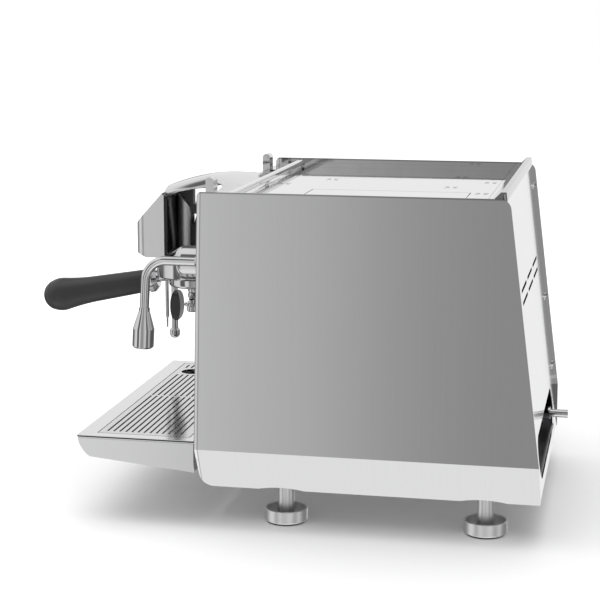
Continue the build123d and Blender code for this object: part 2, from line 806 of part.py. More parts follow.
def shower_screen():
    """Perforated screen with a turned-up rim."""
    r, t, z = gasket_r[0] - seat, screen_t, screen_z
    screen = turned([(0, z), (r - t, z), (r, z + t), (r, z + screen_rim), (r - t, z + screen_rim),
                     (r - t, z + 2 * t), (r - 2 * t, z + t), (0, z + t)], (0, group_y))
    for radius, count in screen_rings:
        for i in range(count):
            angle = 2 * math.pi * i / count
            place = Pos(radius * math.cos(angle), group_y + radius * math.sin(angle))
            screen -= upward(place * RegularPolygon(screen_hole_r, 6), z - t, z + 2 * t)
    return screen


def diffuser():
    """Brass block above the screen, with its feed bore."""
    low = screen_z + 2 * screen_t + seat
    r, stem = gasket_r[0] - 2 * screen_t - seat, feed_r + feed_wall - seat
    return turned([(feed_r, low), (r, low), (r, gasket_top - seat), (stem, gasket_top - seat),
                   (stem, ring_top - 1), (feed_r, ring_top - 1)], (0, group_y))


def group_column():
    """Upright pipe of the group, cut slantwise under the hood's tip."""
    top = hood_tip[1] - sheet_t - tongue_gap
    column = upward(Pos(0, column_y) * Circle(column_r), ring_top + seat, top)
    y, z = column_cut
    above = block((-through, through), (-through, through), (0, through))
    return column - Pos(0, y, z) * Rot(-column_cut_angle, 0, 0) * above


def hood_bracket():
    """Black stay between the column's slanted end and the hood, running down behind the column."""
    y, z = column_cut
    slope = math.tan(math.radians(column_cut_angle))
    front, rear = column_y - column_r + bracket_in, column_y + column_r + seat
    clear = seat / math.cos(math.radians(column_cut_angle))
    roof = [hood_z(v) - sheet_t - seat for v in (front, rear + bracket_t)]
    cut = [z + (y - v) * slope + clear for v in (front, rear)]
    foot = neck_z[1] + seat
    points = [(front, cut[0]), (front, roof[0]), (rear + bracket_t, roof[1]), (rear + bracket_t, foot),
              (rear, foot), (rear, cut[1])]
    return across(outline(points), -neck_half, neck_half)


def group_neck():
    """Casting that carries the group from the front panel."""
    low, high = neck_z
    face = outline([(-neck_half, low), (neck_half, low), (neck_half, high), (-neck_half, high)], neck_radii)
    neck = rearward(face, column_y, front_panel_y - seat)
    neck -= through_z(Pos(0, column_y) * Circle(column_r + seat))
    width, height = flange_size
    flange = RectangleRounded(width, height, flange_corner_r)
    return neck + rearward(Pos(0, brew_z) * flange, front_panel_y - seat - flange_t, front_panel_y - seat)


def casing_screws():
    """Socket screws of the group's flange, and low round heads on the rear sheet."""
    face = front_panel_y - seat - flange_t
    bolt = rearward(Circle(bolt_r), face - bolt_h, face)
    bolt -= rearward(RegularPolygon(bolt_socket, 6), face - 2 * bolt_h, face - bolt_h / 2)
    dx, dz = bolt_at
    pieces = [Pos(x, 0, brew_z + z) * bolt for x in (-dx, dx) for z in (-dz, dz)]
    r, h = screw_r, screw_h
    head = turned([(0, 0), (r, 0), (0.85 * r, 0.65 * h), (0.45 * r, h), (0, h)])
    lean = math.degrees(math.atan(rear_slope))
    for z in screw_z:
        for x in (-inner + screw_inset, inner - screw_inset):
            pieces.append(Pos(x, rear_y(z), z) * Rot(-90 + lean, 0, 0) * head)
    return pieces


# ---- Portafilter ----
def portafilter_body():
    """Bowl with its two ears, the outlet boss and the arm towards the handle."""
    low, high = bowl_z
    at = (0, group_y)
    r, wall, floor = bowl_r, bowl_wall, low + bowl_floor
    bowl = turned([(0, low), (r, low), (r, high), (r - wall, high), (r - wall, floor), (0, floor)],
                  at, [0, bowl_round, 0, 0, bowl_round / 3, 0])
    rise = lug_lead * 2
    for turn in (0, 180):
        ear = sector(groove_r - 2 * seat, ear_angle, turn, groove_z[0] + seat, groove_z[1] - rise)
        bowl += ear - upward(Pos(*at) * Circle(r - wall / 2), 0, through)
    b, foot = boss_r, low - boss_h
    boss = turned([(0, foot), (b - boss_edge, foot), (b, foot + boss_edge), (b, floor), (0, floor)], at)
    arm = along_handle(upward(Circle(arm_r), -arm_in, sum(ferrule_z) / 2 - seat))
    arm -= block((-through, through), (-through, through), (ring_z - 2 * seat, through))
    return bowl + boss + arm - upward(Pos(*at) * Circle(outlet_bore_r), 0, through)


def basket():
    """Pressed filter basket with its rolled lip."""
    top, floor = bowl_z[1], lip_top - basket_depth
    r, t, lip = basket_r, basket_wall, basket_lip_w
    radii = [0, basket_round, 0, 0, 0, 0, basket_round - t, 0]
    return turned([(0, floor), (r, floor), (r, top), (r + lip, top), (r + lip, lip_top), (r - t, lip_top),
                   (r - t, floor + t), (0, floor + t)], (0, group_y), radii)


def double_spout():
    """Two outlets under the bowl, with their collars, and the bar that joins them."""
    top = bowl_z[0] - boss_h - seat
    low, high = (spout_end_z + h for h in spout_collar)
    arm_z = top - spout_r
    spout = turned([(0, arm_z - spout_r), (boss_r - boss_edge, arm_z - spout_r), (boss_r, arm_z),
                    (boss_r, top), (0, top)], (0, group_y))
    for x in (-spout_x, spout_x):
        spout += tube([(0, group_y, arm_z), (x, group_y, arm_z), (x, group_y, low)], spout_bend_r2, spout_r)
        r, c, e = spout_r + spout_edge, spout_collar_r, spout_edge
        spout += turned([(0, spout_end_z), (r - e, spout_end_z), (r, spout_end_z + e), (r, low), (c - e, low),
                         (c, low + e), (c, high - e), (c - e, high), (0, high)], (x, group_y))
    for x in (-spout_x, spout_x):
        spout -= upward(Pos(x, group_y) * Circle(spout_bore_r), 0, arm_z)
    return spout


def along_handle(shape):
    """Place a shape, drawn upwards from the handle's root, along the drooping handle."""
    return Pos(0, *handle_root) * Rot(90 + handle_droop, 0, 0) * shape


def handle_part(points, radii=0):
    """A solid of revolution about the handle's axis, from radii and distances from the root."""
    return along_handle(revolve(Plane.XZ * outline(points, radii), Axis.Z))


def handle_grip():
    """Long black grip, slim behind the ferrule and full towards its end."""
    start, waist, belly, last = handle_r
    at_start, at_waist, at_belly = handle_at
    end = handle_length - handle_cap_depth - seat
    lean = (waist - start) / (at_waist - at_start)
    flare = TangentArc((waist, at_waist), (belly, at_belly), tangent=(lean, 1))
    edges = [Line((0, at_start), (start, at_start)), Line((start, at_start), (waist, at_waist)), flare,
             TangentArc((belly, at_belly), (last, end), tangent=flare % 1), Line((last, end), (0, end)),
             Line((0, end), (0, at_start))]
    return along_handle(revolve(Plane.XZ * make_face(edges), Axis.Z))


def handle_cap():
    """Domed end cap of the grip."""
    r, end = handle_cap_r, handle_length
    low = end - handle_cap_depth
    middle = (end ** 2 - low ** 2 - r ** 2) / (2 * handle_cap_depth)
    turn = math.atan2(r, low - middle) / 2
    crown = ((end - middle) * math.sin(turn), middle + (end - middle) * math.cos(turn))
    edges = [Line((0, low), (r, low)), ThreePointArc((r, low), crown, (0, end)), Line((0, end), (0, low))]
    return along_handle(revolve(Plane.XZ * make_face(edges), Axis.Z))


def handle_ferrule():
    """Turned collar between the arm and the grip."""
    low, high = ferrule_z
    slim, full = ferrule_r
    bore, floor = arm_r + run_fit, (low + high) / 2
    return handle_part([(bore, low), (slim, low), (full, low + full - slim), (full, high), (0, high),
                        (0, floor), (bore, floor)])


# ---- Wand, spout and levers ----
def forward_turned(points, x):
    """A solid of revolution about a joint's axis, from radii and distances ahead of the ball."""
    return Pos(x, joint_y, joint_z) * Rot(90, 0, 0) * revolve(Plane.XZ * outline(points), Axis.Z)


def joint_nut(x):
    """Domed nut that holds a ball joint to the front panel."""
    back = joint_y - (front_panel_y - seat)
    front, r, socket = joint_mouth, joint_nut_r, ball_r + liner_t + seat
    mouth = math.sqrt(socket ** 2 - front ** 2)
    nut = forward_turned([(0, back), (r - 1, back), (r, back + 1), (r, front - nut_crown), (r - 1, front - 3),
                          (mouth + nut_rim + 0.6, front - nut_rim / 2), (mouth + nut_rim, front), (0, front)], x)
    nut -= Pos(x, joint_y, joint_z) * Sphere(socket)
    return nut - rearward(Pos(x, joint_z) * Circle(tap_stem_r - seat), joint_y, front_panel_y)


def joint_liner(x):
    """Slippery seat between a ball and its nut: four cones that lie close round the ball."""
    step = (liner_ends[1] - liner_ends[0]) / liner_cones
    angles = [math.radians(liner_ends[0] + i * step) for i in range(liner_cones + 1)]
    near = (ball_r + seat) / math.cos(math.radians(step / 2))
    far = ball_r + liner_t
    points = [(far * math.sin(a), far * math.cos(a)) for a in angles]
    points += [(near * math.sin(a), near * math.cos(a)) for a in reversed(angles)]
    return forward_turned(points, x)


def water_spout():
    """Ball, bent tube and flared nozzle of the hot water outlet."""
    x, r = joint_x, spout_tube_r
    low, mid, high = nozzle_z
    bend, foot = spout_drop
    inside = high - nozzle_wall
    tip = (x, bend - (joint_z - inside) * spout_lean, inside)
    spout = tube([(x, joint_y, joint_z), (x, bend, joint_z), tip], spout_bend_r, r)
    spout += Pos(x, joint_y, joint_z) * Sphere(ball_r)
    edge = nozzle_edge
    nozzle = turned([(0, high), (r + edge / 2, high), (r + edge / 2, high - 2 * edge), (nozzle_r, mid),
                     (nozzle_r, low + edge), (nozzle_r - edge, low), (0, low)])
    nozzle -= upward(Circle(nozzle_r - nozzle_wall), 0, mid - nozzle_wall)
    upright = Pos(0, 0, low) * Rot(-math.degrees(math.atan(spout_lean)), 0, 0) * Pos(0, 0, -low)
    return spout + Pos(x, foot, 0) * upright * nozzle


def steam_wand():
    """Ball, bent tube and round tip of the steam outlet."""
    x = -joint_x
    wand = tube([(x, joint_y, joint_z), (x, wand_drop_y, joint_z), (x, wand_drop_y, wand_tip_z)],
                wand_bend_r, wand_r)
    wand += Pos(x, joint_y, joint_z) * Sphere(ball_r)
    r, low, high = wand_tip_r, wand_tip_z - wand_tip_r, wand_tip_z + wand_tip_r
    return wand + turned([(0, low), (r, low), (r, high), (0, high)], (x, wand_drop_y), [0, *wand_tip_round, 0])


def wand_grip():
    """Oval heatproof grip clipped on the wand from behind."""
    wide, deep, tall = grip_half
    middle = wand_drop_y + grip_offset
    grip = across(Pos(middle, grip_z) * Ellipse(deep, tall), -joint_x - wide, -joint_x + wide)
    grip &= through_y(Pos(-joint_x, grip_z) * RectangleRounded(2 * wide, 2 * tall, wide - 1))
    return grip - through_z(Pos(-joint_x, wand_drop_y) * Circle(wand_r + run_fit))


def milk_probe():
    """Milk thermometer beside the wand, held by a clip."""
    x, y = -joint_x, wand_drop_y - probe_offset
    tip, stem = probe_tip_r, probe_r
    probe = turned([(0, probe_tip_z), (tip - seat, probe_tip_z), (tip, probe_step_z),
                    (stem, probe_step_z + stem), (stem, probe_top_z), (0, probe_top_z)], (x, y))
    wide = 2 * (wand_r + clip_wall)
    clip = upward(Pos(x, (y + wand_drop_y) / 2) * RectangleRounded(wide, probe_offset + wide, wand_r), *clip_z)
    return probe + clip - through_z(Pos(x, wand_drop_y) * Circle(wand_r + run_fit))


def lever(side):
    """Paddle that stands up through the hood, narrowed below to the arm that turns on its pin."""
    (py, pz), foot = lever_pivot, lever_foot
    y1, y2 = lever_face_y, lever_face_y + lever_depth
    w, neck = lever_w / 2, lever_neck / 2
    knee = tray_z - pivot_r
    paddle = across(outline([(py - foot, pz - foot), (py + foot, pz - foot), (py + foot, pz + foot), (y2, knee),
                             (y2, lever_top), (y1, lever_top), (y1, knee)],
                            lever_radii), -w, w)
    for s in (-1, 1):
        waist = outline([(s * neck, 0), (s * through, 0), (s * through, knee - foot), (s * w, knee - foot),
                         (s * neck, pz + 2 * foot)])
        paddle -= through_y(waist)
    paddle -= across(Pos(py, pz) * Circle(pivot_r), -w, w)
    return Pos(side * lever_x, 0, 0) * paddle


def lever_bracket(side):
    """Forked bracket behind the front panel, with the lever's pin."""
    (py, pz), foot = lever_pivot, lever_foot
    front = front_panel_y + sheet_t + seat
    near = lever_w / 2 + cheek_gap
    far, low = near + cheek_t, pz - bracket_drop
    rear, high = py + foot, pz + foot
    cheek = outline([(front, low), (rear, low), (rear, high), (front, high)], [0, 0, cheek_t, cheek_t])
    shape = both_sides(across(cheek, near, far))
    shape += block((-far, far), (front, rear), (low, low + cheek_t))
    shape += across(Pos(py, pz) * Circle(pivot_r - run_fit), -far - 1, far + 1)
    shape += both_sides(across(Pos(py, pz) * Circle(pivot_r + 2), lever_neck / 2 + seat, near))
    return Pos(side * lever_x, 0, 0) * shape


def tap(side):
    """Brass tap behind a ball joint, worked by the lever above it, with its round bonnet in front."""
    front = front_panel_y + sheet_t + seat
    flange_r, thickness = tap_flange
    shape = block((bonnet_x, joint_x + tap_half), (front + thickness, front + tap_depth),
                  (joint_z - tap_half, joint_z + tap_half))
    for x, z in ((joint_x, joint_z), (bonnet_x, bonnet_z)):
        shape += rearward(Pos(x, z) * Circle(tap_stem_r), front_panel_y - seat, front + thickness)
        shape += rearward(Pos(x, z) * Circle(flange_r), front, front + thickness)
    r, length = bonnet_r, front_panel_y - seat - bonnet_front_y
    bonnet = turned([(0, 0), (r, 0), (r, length), (0, length)], radii=[0, bonnet_round, 0, 0])
    shape += Pos(bonnet_x, bonnet_front_y, bonnet_z) * Rot(-90, 0, 0) * bonnet
    return shape if side > 0 else mirror(shape, Plane.YZ)


# ---- Drip tray ----
def drip_section(inset):
    """Side outline of the drip tray, curved at the front and sloping down to the rear."""
    y1, y2 = drip_front_y + inset, drip_rear_y - inset
    low = drip_z - drip_front_drop + inset
    rear_low = drip_bottom_rear_z + inset
    knee = y1 + drip_knee
    dy, dz = drip_front_bulge
    edges = [Line((y1, drip_z), (y2, drip_z)), Line((y2, drip_z), (y2, rear_low)),
             Line((y2, rear_low), (knee, low)),
             ThreePointArc((knee, low), (y1 + dy, low + dz), (y1, drip_z))]
    return make_face(edges)


def drip_tray():
    """Wide pan with a flat rim, a shadow groove under it and a ledge for the grate."""
    tray = across(drip_section(0), -drip_half, drip_half)
    groove = (drip_z - groove_h[1], drip_z - groove_h[0])
    tray -= both_sides(block((drip_half - groove_depth, through), (-through, through), groove))
    width = drip_half - drip_side_wall
    cavity = across(drip_section(drip_wall), -width, width)
    tray -= cavity & block((-through, through), (-through, through), (0, drip_z - rim_t))
    y1, y2 = grate_y
    bed = (drip_z - grate_t - seat, through)
    tray -= block((-grate_half - slip, grate_half + slip), (y1 - slip, y2 + slip), bed)
    ledge = grate_support
    mouth = (drip_z - 2 * rim_t, through)
    tray -= block((-grate_half + ledge, grate_half - ledge), (y1 + ledge, y2 - ledge), mouth)
    front, rear, top = drip_front_y + rib_in, drip_rear_y - drip_wall, runner_z[1] + seat
    rib = outline([(rear, top), (rear, drip_bottom_rear_z + drip_wall / 2), (front, drip_z - drip_front_drop),
                   (front, top)])
    for x in (-runner_x, runner_x):
        tray += across(rib, x - rib_w / 2, x + rib_w / 2)
    return tray


def drip_grate():
    """Flat grate: rows of long slots across it, and the round hole to purge the wand into."""
    y1, y2 = grate_y
    grate = block((-grate_half, grate_half), (y1, y2), (drip_z - grate_t, drip_z))
    hole_x, clear = purge_inset - joint_x, purge_r + purge_land
    rows = int((y2 - y1 - 2 * slot_margin) // slot_pitch) + 1
    for i in range(rows):
        y = y1 + slot_margin + i * slot_pitch
        spans = [(-slot_half, -slot_web), (slot_web, slot_half)]
        if abs(y - purge_y) < clear:
            spans = [(-slot_half, hole_x - clear), (hole_x + clear, -slot_web), (slot_web, slot_half)]
        for x1, x2 in spans:
            grate -= through_z(Pos((x1 + x2) / 2, y) * Rectangle(x2 - x1, slot_w))
    return grate - through_z(Pos(hole_x, purge_y) * Circle(purge_r))


def tray_runner(x):
    """Arm from the base pan that the drip tray slides on."""
    low, high = runner_z
    width = (x - runner_w / 2, x + runner_w / 2)
    foot = [front_panel_y + in_y for in_y in runner_foot]
    arm = block(width, (drip_front_y + runner_in, foot[1]), (low, high))
    return arm + block(width, foot, (floor_z, high))


# ---- Feet ----
def at_feet(shape):
    """A shape at each of the four feet."""
    return [Pos(side * foot_x, y, 0) * shape for side in (-1, 1) for y in foot_y]


def foot():
    """Deep cup with the stem that stands in it."""
    r, w, floor = foot_r, foot_wall, pad_t + foot_floor
    radii = [0, foot_edge, foot_edge / 2, foot_edge / 2, 0, 0, 0, 0]
    return turned([(0, pad_t), (r, pad_t), (r, foot_h), (r - w, foot_h), (r - w, floor), (stem_r, floor),
                   (stem_r, pan_z), (0, pan_z)], radii=radii)


def foot_pad():
    """Rubber pad under a foot."""
    return turned([(0, 0), (pad_r - 1, 0), (pad_r, 1), (pad_r, pad_t), (0, pad_t)])


# ---- Inside ----
def steam_boiler():
    """Steel boiler with domed ends, a heater flange and two outlets on top."""
    (y1, y2), z, r = boiler_y, boiler_z, boiler_r
    length, dome = y2 - y1, boiler_dome
    ends = [(0, 0), (0.7 * r, 0.2 * dome), (r, dome)]
    shell = turned(ends + [(x, length - h) for x, h in reversed(ends)])
    shell = Pos(boiler_x, y2, z) * Rot(90, 0, 0) * shell
    shell += rearward(Pos(boiler_x, z - dome) * Circle(heater_r), y1 - dome, y1 + dome)
    for place in (steam_outlet, hot_outlet):
        shell += upward(Pos(boiler_x + place[0], place[1]) * Circle(outlet_r), z, outlet_top(place))
    return shell


def outlet_top(place):
    """Upper end of one of the boiler's outlets."""
    return boiler_z + math.sqrt(boiler_r ** 2 - place[0] ** 2) + outlet_rise


def boiler_supports():
    """Two saddle plates under the steam boiler and the strap of the brew boiler."""
    x, low, high = boiler_x, floor_z + seat, boiler_z - boiler_r / 2
    wide, narrow = boiler_r - outlet_r, boiler_r - 2 * outlet_r
    plate = outline([(x - wide, low), (x + wide, low), (x + narrow, high), (x - narrow, high)])
    plate -= Pos(x, boiler_z) * Circle(boiler_r + seat)
    span = 2 * boiler_dome
    pieces = [rearward(plate, y - pan_t, y + pan_t) for y in (boiler_y[0] + span, boiler_y[1] - span)]
    w = brew_boiler_r - 2 * brew_boiler_edge
    high = frame_top - rail_h - seat
    strap = block((-w, w), (post_front_y - pan_t, post_front_y + pan_t), (brew_boiler_z, high))
    return pieces + [strap - through_y(Pos(0, brew_boiler_z) * Circle(brew_boiler_r + seat))]


def brew_boiler():
    """Small boiler right behind the group's neck."""
    front = front_panel_y + 2 * brew_boiler_edge
    body = rearward(Pos(0, brew_boiler_z) * Circle(brew_boiler_r), front, brew_boiler_rear_y)
    body = chamfer(body.edges(), brew_boiler_edge)
    return body + rearward(Pos(0, brew_z) * Circle(brew_port_r), front_panel_y - seat, front + 1)


def water_reservoir():
    """Lift-out tank under the hatch, open at the top."""
    gap = hatch_ledge + tank_gap
    x1, x2 = hatch_x[0] + gap, hatch_x[1] - gap - post_w / 2
    y1, y2 = hatch_y[0] + gap, hatch_y[1] - gap
    low, high = shelf_z + seat, frame_top - tank_gap
    middle = Pos((x1 + x2) / 2, (y1 + y2) / 2)
    tank = upward(middle * RectangleRounded(x2 - x1, y2 - y1, tank_corner_r), low, high)
    inside = RectangleRounded(x2 - x1 - 2 * tank_wall, y2 - y1 - 2 * tank_wall, tank_corner_r - tank_wall)
    return tank - upward(middle * inside, low + tank_wall, through)


def motor_z():
    """Height of the motor's and the pump's axis."""
    return floor_z + seat + motor_foot_h + motor_r


def pump_motor():
    """Pump motor with cooling fins along it, on its foot."""
    z = motor_z()
    y1, y2 = motor_y
    motor = rearward(Circle(motor_r - fin_h), y1, y2)
    fin = rearward(Pos(0, motor_r - fin_h) * Rectangle(fin_h, 2 * fin_h), y1 + 2 * fin_h, y2 - 2 * fin_h)
    for i in range(motor_fins):
        motor += Rot(0, 360 * (i + 0.5) / motor_fins, 0) * fin
    motor = Pos(pump_x, 0, z) * motor
    wide = motor_r - motor_foot_h
    return motor + block((pump_x - wide, pump_x + wide), (y1 + 3 * fin_h, y2 - 3 * fin_h),
                         (floor_z + seat, z - motor_r + motor_foot_h))


def rotary_pump():
    """Brass pump head flanged to the motor."""
    z, rear = motor_z(), motor_y[0] - seat
    pump = rearward(Pos(pump_x, z) * Circle(pump_r), pump_front_y, rear)
    ports = block((pump_x - pump_port, pump_x + pump_port), (pump_front_y + fin_h, rear - motor_foot_h),
                  (port_z - motor_foot_h, port_z + motor_foot_h))
    return pump + ports


def control_box():
    """Housing of the electronics, standing on the base pan."""
    box = block(box_x, box_y, (floor_z + seat, box_top))
    return chamfer(box.edges().filter_by(Axis.Z), box_corner_r)


def solenoid_block():
    """Valve manifold with three coils."""
    wide, deep, high = valve_size
    top = floor_z + seat + high
    base = block((valve_x - wide / 2, valve_x + wide / 2), (valve_y - deep / 2, valve_y + deep / 2),
                 (floor_z + seat, top))
    for x in (valve_x - valve_pitch, valve_x, valve_x + valve_pitch):
        base += upward(Pos(x, valve_y) * Circle(coil_r), top, top + coil_h)
    return base


def pipe(points):
    """A copper pipe with mitred corners."""
    path = Polyline(*points)
    return sweep(Plane(path @ 0, z_dir=path % 0) * Circle(pipe_r), path, transition=Transition.RIGHT)


def inner_pipes():
    """Pipes for steam, hot water, brew water, pump delivery and supply."""
    tap_rear = front_panel_y + sheet_t + 2 * seat + tap_depth
    pipes = []
    for side, (dx, y), turn_y in ((-1, steam_outlet, pipe_turn_y[0]), (1, hot_outlet, pipe_turn_y[1])):
        x, end = boiler_x + dx, side * (joint_x - tap_stem_r)
        start = outlet_top((dx, y)) + seat
        z = start + pipe_rise
        pipes.append([(x, y, start), (x, y, z), (x, turn_y, z), (end, turn_y, z), (end, turn_y, joint_z),
                      (end, tap_rear, joint_z)])
    coil_x = valve_x + valve_pitch
    top = floor_z + 2 * seat + valve_size[2] + coil_h
    level = top + motor_r
    bend_y = post_front_y + pipe_gap + post_w / 2
    pipes.append([(coil_x, valve_y, top), (coil_x, valve_y, level), (box_x[0] - pipe_gap, valve_y, level),
                  (box_x[0] - pipe_gap, bend_y, level), (0, bend_y, level),
                  (0, bend_y, brew_boiler_z - brew_boiler_r - seat)])
    port_x = pump_x - pump_port - seat
    low = floor_z + seat + valve_size[2] / 2
    lane = box_x[0] - pipe_gap
    pipes.append([(port_x, pump_front_y + pipe_gap, port_z), (lane, pump_front_y + pipe_gap, port_z),
                  (lane, pump_front_y + pipe_gap, low), (lane, valve_y, low),
                  (valve_x + valve_size[0] / 2 + seat, valve_y, low)])
    y = rear_y(service_z) - service_depth - inlet_thread[0] - seat
    supply_y, supply_x = box_y[1] + pipe_gap + pipe_r, box_x[1] + pipe_gap
    port_y = motor_y[0] - motor_foot_h - pipe_gap
    pipes.append([(inlet_x, y, service_z), (inlet_x, supply_y, service_z), (supply_x, supply_y, service_z),
                  (supply_x, port_y, service_z), (supply_x, port_y, port_z), (port_x, port_y, port_z)])
    return [pipe(points) for points in pipes]


def power_switch():
    """Rocker of the mains switch."""
    wide, tall = rocker_half
    t = switch_pin_r
    face = outline([(-3 * t - 2, -tall), (-3 * t, 0), (-3 * t - 2, tall), (2 * t, tall - t), (2 * t, t - tall)])
    face = Rot(0, 0, switch_throw) * (face - Circle(t))
    return across(Pos(front_panel_y + switch_pin_y, switch_z) * face, switch_x - wide, switch_x + wide)


def switch_bezel():
    """Frame of the mains switch, with the rocker's pin."""
    y, deep = front_panel_y, switch_depth
    frame = rearward(RectangleRounded(*switch_rim, switch_round), y - switch_rise, y - seat)
    frame += rearward(Rectangle(*switch_neck), y - 2 * seat, y + deep)
    frame -= rearward(Rectangle(*switch_hole), -through, y + deep - sheet_t)
    wide = switch_hole[0] / 2 + seat
    frame += across(Pos(y + switch_pin_y, 0) * Circle(switch_pin_r - run_fit), -wide, wide)
    return Pos(switch_x, 0, switch_z) * frame


# ---- Build ----
def all_nodes():
    """Every node by name, as a shape or a list of shapes."""
    return {
        "side_panel_right": side_panel(1),
        "side_panel_left": side_panel(-1),
        "base_pan": base_pan(),
        "chassis_frame": chassis_frame(),
        "cup_tray": cup_tray(),
        "hatch_lid": hatch_lid(),
        "hood": hood(),
        "front_rail": front_rail(),
        "tray_trims": tray_trims(),
        "rear_panel": rear_panel(),
        "rear_ridge": rear_ridge(),
        "service_plate": service_plate(),
        "water_inlet": water_inlet(),
        "power_inlet": power_inlet(),
        "front_panel": front_panel(),
        "group_cover": group_cover(),
        "group_core": group_core(),
        "brew_button_single": brew_button(button_xs[0]),
        "brew_button_double": brew_button(button_xs[1]),
        "group_ring": group_ring(),
        "group_gasket": group_gasket(),
        "shower_screen": shower_screen(),
        "diffuser": diffuser(),
        "group_column": group_column(),
        "hood_bracket": hood_bracket(),
        "group_neck": group_neck(),
        "casing_screws": casing_screws(),
        "portafilter_body": portafilter_body(),
        "filter_basket": basket(),
        "double_spout": double_spout(),
        "handle_ferrule": handle_ferrule(),
        "handle_grip": handle_grip(),
        "handle_cap": handle_cap(),
        "joint_nuts": [joint_nut(-joint_x), joint_nut(joint_x)],
        "wand_liner": joint_liner(-joint_x),
        "spout_liner": joint_liner(joint_x),
        "water_spout": water_spout(),
        "steam_wand": steam_wand(),
        "wand_grip": wand_grip(),
        "milk_probe": milk_probe(),
        "steam_lever": lever(-1),
        "water_lever": lever(1),
        "lever_brackets": [lever_bracket(-1), lever_bracket(1)],
        "taps": [tap(-1), tap(1)],
        "drip_tray": drip_tray(),
        "drip_grate": drip_grate(),
        "tray_runners": [tray_runner(-runner_x), tray_runner(runner_x)],
        "feet": at_feet(foot()),
        "foot_pads": at_feet(foot_pad()),
        "steam_boiler": steam_boiler(),
        "brew_boiler": brew_boiler(),
        "boiler_supports": boiler_supports(),
        "inner_pipes": inner_pipes(),
        "water_reservoir": water_reservoir(),
        "pump_motor": pump_motor(),
        "rotary_pump": rotary_pump(),
        "control_box": control_box(),
        "solenoid_block": solenoid_block(),
        "power_switch": power_switch(),
        "switch_bezel": switch_bezel(),
    }


def solids_of(shape):
    """The separate solids of a shape or of a list of shapes."""
    pieces = shape if isinstance(shape, list) else [shape]
    return [solid for piece in pieces for solid in piece.solids()]


def build():
    """Write one file per node, with the origin on the floor below the middle of the machine."""
    nodes = {name: solids_of(shape) for name, shape in all_nodes().items()}
    boxes = [solid.bounding_box() for solids in nodes.values() for solid in solids]
    middle_y = (min(box.min.Y for box in boxes) + max(box.max.Y for box in boxes)) / 2
    os.makedirs("parts", exist_ok=True)
    for name, solids in nodes.items():
        moved = [solid.moved(Location((0, -middle_y, 0))) for solid in solids]
        export_step(moved[0] if len(moved) == 1 else Compound(children=moved), f"parts/{name}.step")


build()
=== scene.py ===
import json
import math

import bmesh
import bpy
import numpy as np
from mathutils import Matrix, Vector


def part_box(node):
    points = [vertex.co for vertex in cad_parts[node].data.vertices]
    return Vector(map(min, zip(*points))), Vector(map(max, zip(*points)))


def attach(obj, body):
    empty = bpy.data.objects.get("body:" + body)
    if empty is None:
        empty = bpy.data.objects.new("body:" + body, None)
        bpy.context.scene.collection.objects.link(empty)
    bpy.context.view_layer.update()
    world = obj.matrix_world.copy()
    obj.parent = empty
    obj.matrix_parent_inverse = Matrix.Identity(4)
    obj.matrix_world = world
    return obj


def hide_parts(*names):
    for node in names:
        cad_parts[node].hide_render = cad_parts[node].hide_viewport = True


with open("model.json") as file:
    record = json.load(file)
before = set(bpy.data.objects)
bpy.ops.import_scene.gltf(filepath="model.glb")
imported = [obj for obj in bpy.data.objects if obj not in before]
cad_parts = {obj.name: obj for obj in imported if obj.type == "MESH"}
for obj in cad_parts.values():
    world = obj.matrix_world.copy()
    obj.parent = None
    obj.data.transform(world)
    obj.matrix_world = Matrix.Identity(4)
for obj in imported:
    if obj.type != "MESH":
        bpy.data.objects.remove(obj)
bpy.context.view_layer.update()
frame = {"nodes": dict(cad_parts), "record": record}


# ---- Materials: how they are written ----
class Value:
    """An output in a node tree. Python operators on it add Math nodes."""

    def __init__(self, tree, socket):
        self.tree = tree
        self.socket = socket

    def math(self, operation, *others):
        node = self.tree.nodes.new("ShaderNodeMath")
        node.operation = operation
        for slot, value in enumerate((self,) + others):
            connect(self.tree, node.inputs[slot], value)
        return Value(self.tree, node.outputs[0])

    def __add__(self, other):
        return self.math("ADD", other)

    def __sub__(self, other):
        return self.math("SUBTRACT", other)

    def __rsub__(self, other):
        return (self * -1.0).math("ADD", other)

    def __mul__(self, other):
        return self.math("MULTIPLY", other)

    def __truediv__(self, other):
        return self.math("DIVIDE", other)

    __radd__ = __add__
    __rmul__ = __mul__


def connect(tree, socket, value):
    """Link a Value to a socket, or write a plain number, colour or vector on it."""
    if isinstance(value, Value):
        tree.links.new(value.socket, socket)
    elif isinstance(value, (tuple, list)) and len(value) == 3 and len(socket.default_value) == 4:
        socket.default_value = (*value, 1.0)
    else:
        socket.default_value = value


def add(tree, kind, settings=None, inputs=None, output=0):
    """Add any node: settings first, then its inputs by name or number, and return one output."""
    node = tree.nodes.new(kind)
    for key, value in (settings or {}).items():
        if key == "stops":
            fill_ramp(node.color_ramp, value)
        else:
            setattr(node, key, value)
    for key, value in (inputs or {}).items():
        connect(tree, node.inputs[key], value)
    return Value(tree, node.outputs[output])


def fill_ramp(ramp, stops):
    """Write a ramp's stops, each a position and a grey value."""
    while len(ramp.elements) < len(stops):
        ramp.elements.new(1.0)
    for element, (position, tone) in zip(ramp.elements, stops):
        element.position = position
        element.color = (tone, tone, tone, 1.0)


def mix(tree, factor, a, b):
    """Blend two colours."""
    return add(tree, "ShaderNodeMix", {"data_type": "RGBA"}, {0: factor, 6: a, 7: b}, output=2)


def grey(tone):
    """A grey colour of one tone."""
    return (tone, tone, tone)


def toned(tree, factor, stops):
    """Look a factor between 0 and 1 up in a ramp of greys."""
    return add(tree, "ShaderNodeValToRGB", {"stops": stops}, {"Fac": factor})


def ranged(tree, value, start, end, low=0.0, high=1.0, kind="LINEAR"):
    """Carry a value from one range to another, held at its ends."""
    return add(tree, "ShaderNodeMapRange", {"interpolation_type": kind},
               {"Value": value, "From Min": start, "From Max": end, "To Min": low, "To Max": high})


